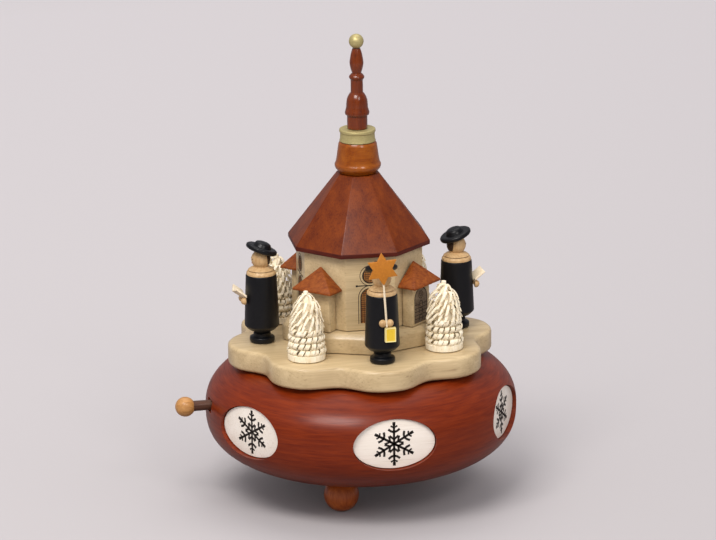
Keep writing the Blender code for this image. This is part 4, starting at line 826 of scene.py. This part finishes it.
# Radius and distance below the ball
SPIRE_TOP = 190.6
neck = [(1.6, 0), (1.95, 1.0), (2.3, 2.3), (2.75, 4.9), (2.85, 6.5), (2.4, 8.7), (1.85, 10.4)]
spire_line = [(0, 0)] + through(neck, 4)
spire_line += through([(1.85, 10.4), (2.6, 11.0), (3.2, 12.1), (2.6, 13.2), (2.525, 13.8)], 4)[1:]
spire_line += through([(2.55, 18.5), (3.3, 19.4), (4.1, 21.1), (4.4, 23.0), (4.5, 24.8)], 4)
spire_line += through([(4.5, 24.8), (4.75, 25.8), (5.05, 26.9), (4.9, 27.8), (4.2, 28.2)], 4)[1:]
spire_profile = eased([(r, SPIRE_TOP - d) for r, d in spire_line + [(4.2, 33.6), (0, 33.6)]])
top_ball = ball_profile(3.05 * MM, 193.6 * MM, -62.3, 90, 28) + [(0, 190.9 * MM)]
TOWER = (
    ("turned_collar", collar_profile, collar_wood, 96, "roof_wood", "tower_collar"),
    ("gilt_band", band_profile, gold, 96, "gold_paint", "tower_band"),
    ("turned_spire", spire_profile, spire_wood, 72, "stained_mahogany", "tower_spire"),
    ("gilt_ball", top_ball, gold, 48, "gold_paint", "tower_ball"),
)
for name, profile, finish, steps, slot, node in TOWER:
    fit(turned(name, profile, finish, steps, ON_AXIS), slot, node)

# Carol singers
# Turned figures in black lacquered coats on small foot discs, with natural heads and collars
# turned in one piece, glued-on brimmed hats, bead hands and a folded wooden booklet.
STAND = 68.5 * MM
FIGURE_CIRCLE = 41.6 * MM
# Black lacquer: sprayed, with a fine orange peel and a soft gloss
clear = {"coat_weight": 0.15, "coat_roughness": 0.2, "specular_ior_level": 0.25}
lacquer = speckled("black lacquer", "090A0C", "121317", 0.9, (0.36, 0.5), 2, (0.12, 0.05), **clear)
# Limewood is plain and even, honey pale under wax, and the booklet's veneer is paler and dry
limewood = wood("natural limewood, waxed", "B79161", "D1B080", (0.6, 0.6, 6), 1.8, 0.45, 0.15, 0.06)
booklet_wood = wood("pale booklet wood", "DCC9A6", "EEDFC3", (0.5, 8, 0.5), 2, 0.55, 0.05, 0.08)


def paint(name, low, high, roughness):
    """Brushed paint: its two hex colours run into each other in streaks a third of a mm wide."""
    rough = (roughness - 0.06, roughness + 0.06)
    return speckled(name, low, high, 1.5, rough, coat_weight=0.1)


hair_paint = paint("dark brown paint", "2A1A10", "3F281A", 0.5)
lip_paint = paint("red brown paint", "9A4A30", "B4604A", 0.5)
COAT_FOOT = (7.25, 7.1)
COAT_TOP = (6.4, 29.0)
coat_profile = eased([(0, 29.0), (*COAT_TOP, 0.7), (*COAT_FOOT, 1.2), (4.95, 4.8, 0.6)])
coat_profile += eased([(3.6, 4.3, 0.4), (3.6, 2.6, 0.4), (5.2, 2.1, 0.7), (5.2, 0, 0.6), (0, 0)])
yoke_profile = eased([(0, 30.6), (5.45, 30.6), (6.1, 29.8, 0.6), (6.15, 29.0), (0, 29.0)])
HEAD_RADIUS = 4
HEAD_MIDDLE = 35.3 * MM
head_profile = ball_profile(HEAD_RADIUS * MM, HEAD_MIDDLE, -46.5, 90, 30)
head_profile += eased([(4.45, 31.65), (5.1, 31.2), (5.4, 30.95, 0.2), (5.4, 30.9), (0, 30.9)])
hat_line = through([(0, 4.3), (1.85, 4.2), (3.07, 3.7), (3.7, 2.6), (3.9, 2.15)])
hat_line += through([(3.9, 2.15), (5.7, 2.2), (6.5, 1.75), (6.7, 1.1), (6.45, 0.4), (5.7, 0)])[1:]
hat_profile = eased(hat_line + [(0, 0)])
TILT = radians(20)
tilted_up = Vector((0, sin(TILT), cos(TILT)))
forward = Vector((0, -cos(TILT), sin(TILT)))
head_at = Vector((0, 0, HEAD_MIDDLE))
brim_seat = head_at + tilted_up * 2.7 * MM
HAND_HEIGHT = 18.4 * MM
# Eyes and mouth: place across and up from the middle of the head, radius, and paint
eye = (0.5, 0.36, hair_paint)
FACE_DOTS = ((-1.25, *eye), (1.25, *eye), (0, -1.35, 0.4, lip_paint))


def stand_at(azimuth):
    """From a figure's own place, its front along -Y, to its place on the plate."""
    turn = Matrix.Rotation(radians(azimuth), 4, "Z")
    return Matrix.Translation(around(FIGURE_CIRCLE, azimuth, STAND)) @ turn


def slice_off(piece, point, normal):
    """Cuts away what lies beyond a plane and closes the cut."""
    shape = bmesh.new()
    shape.from_mesh(piece.data)
    everything = shape.verts[:] + shape.edges[:] + shape.faces[:]
    cut = {"plane_co": point, "plane_no": normal, "clear_outer": True}
    bmesh.ops.bisect_plane(shape, geom=everything, **cut)
    bmesh.ops.holes_fill(shape, edges=[e for e in shape.edges if e.is_boundary])
    shape.to_mesh(piece.data)
    shape.free()
    return piece


def bead_hands(name, spread):
    """Two turned beads side by side in front of the coat, flat where they are glued to it."""
    hands = []
    for side in (-1, 1):
        place = (side * spread * MM, -7.7 * MM, HAND_HEIGHT)
        bead = turned("hand", ball_profile(1.55 * MM, 0, -90, 90, 14), limewood, 24, place)
        hands.append(slice_off(bead, (0, -7.2 * MM, 0), (0, 1, 0)))
    return tidy(joined(name, hands))


def dress(name, azimuth, *held):
    """Makes a figure, and sets it and what it holds on the plate."""
    coat = turned("coat", coat_profile, lacquer)
    coat = joined(f"{name}_lacquered_coat", [coat, turned("yoke", yoke_profile, limewood)])
    head = turned(f"{name}_turned_head", head_profile, limewood)
    slice_off(head, brim_seat, tilted_up)
    hair = turned("hair", ball_profile(4.06 * MM, HEAD_MIDDLE, -32), hair_paint)
    slice_off(hair, brim_seat, tilted_up)
    marks = [slice_off(hair, (0, 2.1 * MM, HEAD_MIDDLE), (0, -1, -0.12))]
    for x, z, size, finish in FACE_DOTS:
        dot = turned("dot", ball_profile(size * MM, 0, -90, 90, 8), finish, 14)
        spot = Vector((x, -sqrt(HEAD_RADIUS**2 - x * x - z * z), z)) * MM
        dot.data.transform(Matrix.Translation(head_at + spot) @ Matrix.Diagonal((1, 0.35, 0.8, 1)))
        marks.append(dot)
    face = joined(f"{name}_painted_face", marks)
    hat_place = brim_seat + tilted_up * 0.3 * MM + forward * 1.1 * MM
    hat = turned(f"{name}_turned_hat", hat_profile, lacquer, 72, hat_place, (-TILT, 0, 0))
    for piece in (coat, head, face, hat, *held):
        piece.data.transform(stand_at(azimuth))
    fit(tidy(coat), "black_lacquer", f"{name}_coat")
    fit(tidy(head), "natural_wood", f"{name}_head")
    fit(tidy(face), "natural_wood")
    fit(tidy(hat), "black_lacquer", f"{name}_hat")


LEAF = [(0, -6), (4.6, -6), (4.6, 0), (0, 0)]
LEAF_THICKNESS = 0.8
OPENING = radians(22)
book_height = 19.6 - 2.3 * tan(OPENING)
tipped = Matrix.Rotation(radians(-38), 4, "X")
spine = Matrix.Translation((0, -7.7 * MM, book_height * MM)) @ tipped
half_open = Matrix.Rotation(-OPENING, 4, "Y") @ Matrix.Translation((0, 0, LEAF_THICKNESS * MM))
for name, azimuth in (("singer_right", 90), ("singer_back", 180), ("singer_left", 270)):
    leaves = []
    for side in (-1, 1):
        place = spine @ Matrix.Scale(side, 4, (1, 0, 0)) @ half_open
        leaf = slab("leaf", LEAF, LEAF_THICKNESS, place, 0.12, booklet_wood)
        leaves.append(slice_off(tidy(leaf), (0, -7.1 * MM, 0), (0, 1, 0)))
    booklet = joined(f"{name}_booklet", leaves)
    hands = bead_hands(f"{name}_bead_hands", 2.3)
    dress(name, azimuth, hands, booklet)
    fit(tidy(booklet), "booklet_wood", f"{name}_book")
    fit(tidy(hands), "booklet_wood")

# Star bearer
# The fourth figure carries an orange star on a thin pole, and a yellow lantern hangs from the
# right hand.
star_paint = paint("orange paint", "AC650C", "C97F1A", 0.5)
lantern_paint = paint("yellow paint", "DDB420", "F0CE3A", 0.45)
frame_paint = paint("pale yellow paint", "EBD98C", "F5E8A8", 0.5)
star_outline = []
for i in range(12):
    turn = pi / 2 + pi * i / 6
    radius = 4 if i % 2 else 6.9
    star_outline.append((radius * cos(turn), radius * sin(turn)))
lean = Matrix.Rotation(radians(-3.5), 4, "Y")
grip = Matrix.Translation((0, -8.15 * MM, HAND_HEIGHT)) @ lean
star_place = grip @ facing_out(0, 0.6 * MM, 23.1 * MM)
star = slab("painted_star", star_outline, 1.2, star_place, 0.12, star_paint)
pole_profile = eased([(0, 21.1), (0.45, 21.1), (0.45, -1.55), (0, -1.55)])
pole = turned("star_pole_stick", pole_profile, booklet_wood, 16)
pole.data.transform(grip)
hands = bead_hands("star_bearer_bead_hands", 1.5)
dress("star_bearer", 0, hands, star, pole)
fit(tidy(star, 30), "orange_paint", "star_pole")
fit(tidy(pole), "orange_paint")
fit(tidy(hands), "natural_wood")

WIDTH, DEPTH, HEIGHT = 4.4, 1.8, 5.9
LANTERN_TOP = 16.55
# The coat's side at the lantern's lower edge, which the lantern clears by a little
coat_front = COAT_FOOT[0] - 0.75 * (LANTERN_TOP - HEIGHT - COAT_FOOT[1]) / 23.5
middle = (1.5, -(coat_front + 0.3) - DEPTH / 2, LANTERN_TOP - HEIGHT / 2)
place = stand_at(0) @ Matrix.Scale(MM, 4) @ Matrix.Translation(middle)
place = place @ Matrix.Diagonal((WIDTH, DEPTH, HEIGHT, 1))
shape = bmesh.new()
bmesh.ops.create_cube(shape, size=1)
bmesh.ops.transform(shape, matrix=place, verts=shape.verts)
sides = shape.faces[:]
bmesh.ops.inset_individual(shape, faces=sides, thickness=0.5 * MM, depth=0)
bmesh.ops.inset_individual(shape, faces=sides, thickness=0.12 * MM, depth=-0.15 * MM)
for face in sides:
    face.material_index = 1
lantern = tidy(set_down("painted_lantern", shape, frame_paint, lantern_paint), 20)
fit(lantern, "yellow_paint", "lantern")

# Shaved trees
# Limewood cones on plain turned bases. A chisel has raised row over row of thin curls all round:
# short tight rolls below, longer straighter ones above, and the bare tip of the stick on top.

# Fresh shavings: nearly white where the blade has just passed, dry and dull
shavings = wood("fresh lime shavings", "EADAB6", "FCF3DC", (0.4, 0.4, 3), 1.5, 0.6, 0.0, 0.1)


def curl_strip(shape, kind_layer, kind, line, width, thick):
    """A thin closed strip along a line of (out, up) points in millimetres."""
    rows = []
    for i, (x, z) in enumerate(line):
        ahead = Vector(line[min(i + 1, len(line) - 1)]) - Vector(line[max(i - 1, 0)])
        side = Vector((-ahead.y, ahead.x)).normalized() * thick / 2
        slant = 0.45 * z
        half = width / 2 * (1 - 0.25 * (i / (len(line) - 1)) ** 2)
        row = []
        for s, t in ((-1, -1), (1, -1), (1, 1), (-1, 1)):
            point = Vector((x + t * side.x, slant + s * half, z + t * side.y)) * MM
            row.append(shape.verts.new(point))
        rows.append(row)
    faces = [shape.faces.new(rows[0][::-1]), shape.faces.new(rows[-1])]
    for a, b in zip(rows, rows[1:]):
        for k in range(4):
            faces.append(shape.faces.new((a[k], a[(k + 1) % 4], b[(k + 1) % 4], b[k])))
    for face in faces:
        face[kind_layer] = kind


shape = bmesh.new()
kind_layer = shape.faces.layers.int.new("kind")
roll = [(-0.9, -1.55), (0.0, -1.5)]
for i in range(11):
    a = radians(-95 + 28 * i)
    r = 1.36 - 0.035 * i
    roll.append((0.85 + r * cos(a), -0.12 + r * sin(a)))
curl_strip(shape, kind_layer, 0, roll, 1.95, 0.28)
leaf = [(-0.7, 1.4), (0.3, 1.35), (1.2, 0.8), (1.9, -0.1), (2.35, -1.1), (2.6, -2.0)]
curl_strip(shape, kind_layer, 1, leaf, 1.15, 0.36)
bmesh.ops.recalc_face_normals(shape, faces=shape.faces)
curl_mesh = bpy.data.meshes.new("two curls")
shape.to_mesh(curl_mesh)
shape.free()

# How far each curl strays from its place in the row, from its row's height, its lean and its size
ROUND_STRAY = 0.16
HEIGHT_STRAY = 0.18 * MM
LEAN_STRAY = (0.16, 0.14)
SIZE_STRAY = 0.1
# The long curls start above the short rolls, and Fullness rounds the outline
TREE_SIZES = {
    "Rows": 9,
    "Long Rows": 5,
    "Low Radius": 5.75 * MM,
    "Top Radius": 1.3 * MM,
    "Fullness": 0.4,
    "Row Height": 2.72 * MM,
    "First Height": 3.9 * MM,
    "Curl Width": 1.8 * MM,
    "Seed": 3,
}
kinds = {label: "Int" if isinstance(size, int) else "Float" for label, size in TREE_SIZES.items()}
shaving, given = start_tree("rows of curls", kinds)
put = partial(add_node, shaving)
row_points = put("Points", {"Count": given["Rows"]})
row_number = put("InputIndex")
row_points = {"Geometry": row_points, "Name": "row", "Value": row_number}
row_points = put("StoreNamedAttribute", row_points, data_type="INT")
row = put("InputNamedAttribute", {"Name": "row"}, data_type="INT")
last_row = put("SUBTRACT", (given["Rows"], 1))
down = put("DIVIDE", (row, last_row))
down = put("SUBTRACT", (1, down))
down = put("POWER", (down, given["Fullness"]))
row_radius = {0: down, 2: given["Top Radius"], 3: given["Low Radius"]}
row_radius = put("Mix", row_radius, data_type="FLOAT")
girth = put("MULTIPLY", (row_radius, tau))
amount = put("DIVIDE", (girth, given["Curl Width"]))
amount = put("ROUND", (amount,))
copies = put("DuplicateElements", {"Geometry": row_points, "Amount": amount}, domain="POINT")
jitter = {0: (-1, -1, -1), 1: (1, 1, 1), "Seed": given["Seed"]}
jitter = put("FunctionNodeRandomValue", jitter, data_type="FLOAT_VECTOR")
jitter = put("SeparateXYZ", (jitter,)).outputs
# Each row starts half a curl further round than the one below
turn = put("MULTIPLY_ADD", (row, 0.5, copies.outputs["Duplicate Index"]))
turn = put("MULTIPLY_ADD", (jitter[0], ROUND_STRAY, turn))
turn = put("DIVIDE", (turn, amount))
turn = put("MULTIPLY", (turn, tau))
lift = put("MULTIPLY_ADD", (row, given["Row Height"], given["First Height"]))
lift = put("MULTIPLY_ADD", (jitter[1], HEIGHT_STRAY, lift))
root = put("CombineXYZ", {"X": row_radius, "Z": lift})
root = put("VectorRotate", {"Vector": root, "Angle": turn}, rotation_type="Z_AXIS")
rooted = put("SetPosition", {"Geometry": copies, "Position": root})
kind = put("InputNamedAttribute", {"Name": "kind"}, data_type="INT")
two_curls = {"Geometry": given["Geometry"], "Group ID": kind}
two_curls = put("SplitToInstances", two_curls, domain="FACE")
first_long = put("SUBTRACT", (given["Rows"], given["Long Rows"]))
is_long = put("FunctionNodeCompare", (row, first_long), operation="GREATER_EQUAL")
lean_x = put("MULTIPLY", (jitter[2], LEAN_STRAY[0]))
lean_y = put("MULTIPLY", (jitter[0], LEAN_STRAY[1]))
lean = put("CombineXYZ", (lean_x, lean_y, turn))
size = put("MULTIPLY_ADD", (jitter[1], SIZE_STRAY, 1))
curls = {"Points": rooted, "Instance": two_curls.outputs["Instances"], "Pick Instance": True}
curls |= {"Instance Index": is_long, "Rotation": lean, "Scale": size}
end_tree(shaving, put("InstanceOnPoints", curls), given["Finish"])

TREE_CIRCLE = 41.1 * MM
core = [(0, 28.65), (1.0, 28.65, 0.4), (1.0, 26.6), (1.3, 26.2), (3.6, 20), (5.4, 2.9), (7.4, 2.7)]
core_profile = eased(core + [(7.75, 2.5, 0.35), (7.75, 0.0, 0.3), (0, 0)])
for i in range(4):
    curls = add_object("curls", curl_mesh.copy())
    run_tree(shaving, curls, TREE_SIZES | {"Seed": 11 * i + 3, "Finish": shavings})
    core = turned("core", core_profile, shavings, 48)
    tree = joined(f"shaved_tree_{i + 1}", [curls, core])
    azimuth = 45 + 90 * i
    turn = Matrix.Rotation(radians(azimuth + 17 * i), 4, "Z")
    tree.data.transform(Matrix.Translation(around(TREE_CIRCLE, azimuth, STAND)) @ turn)
    tree.data.shade_smooth()
    tree.data.set_sharp_from_angle(angle=radians(40))
    fit(tree, "shaved_lime_wood", f"tree_{i + 1}")
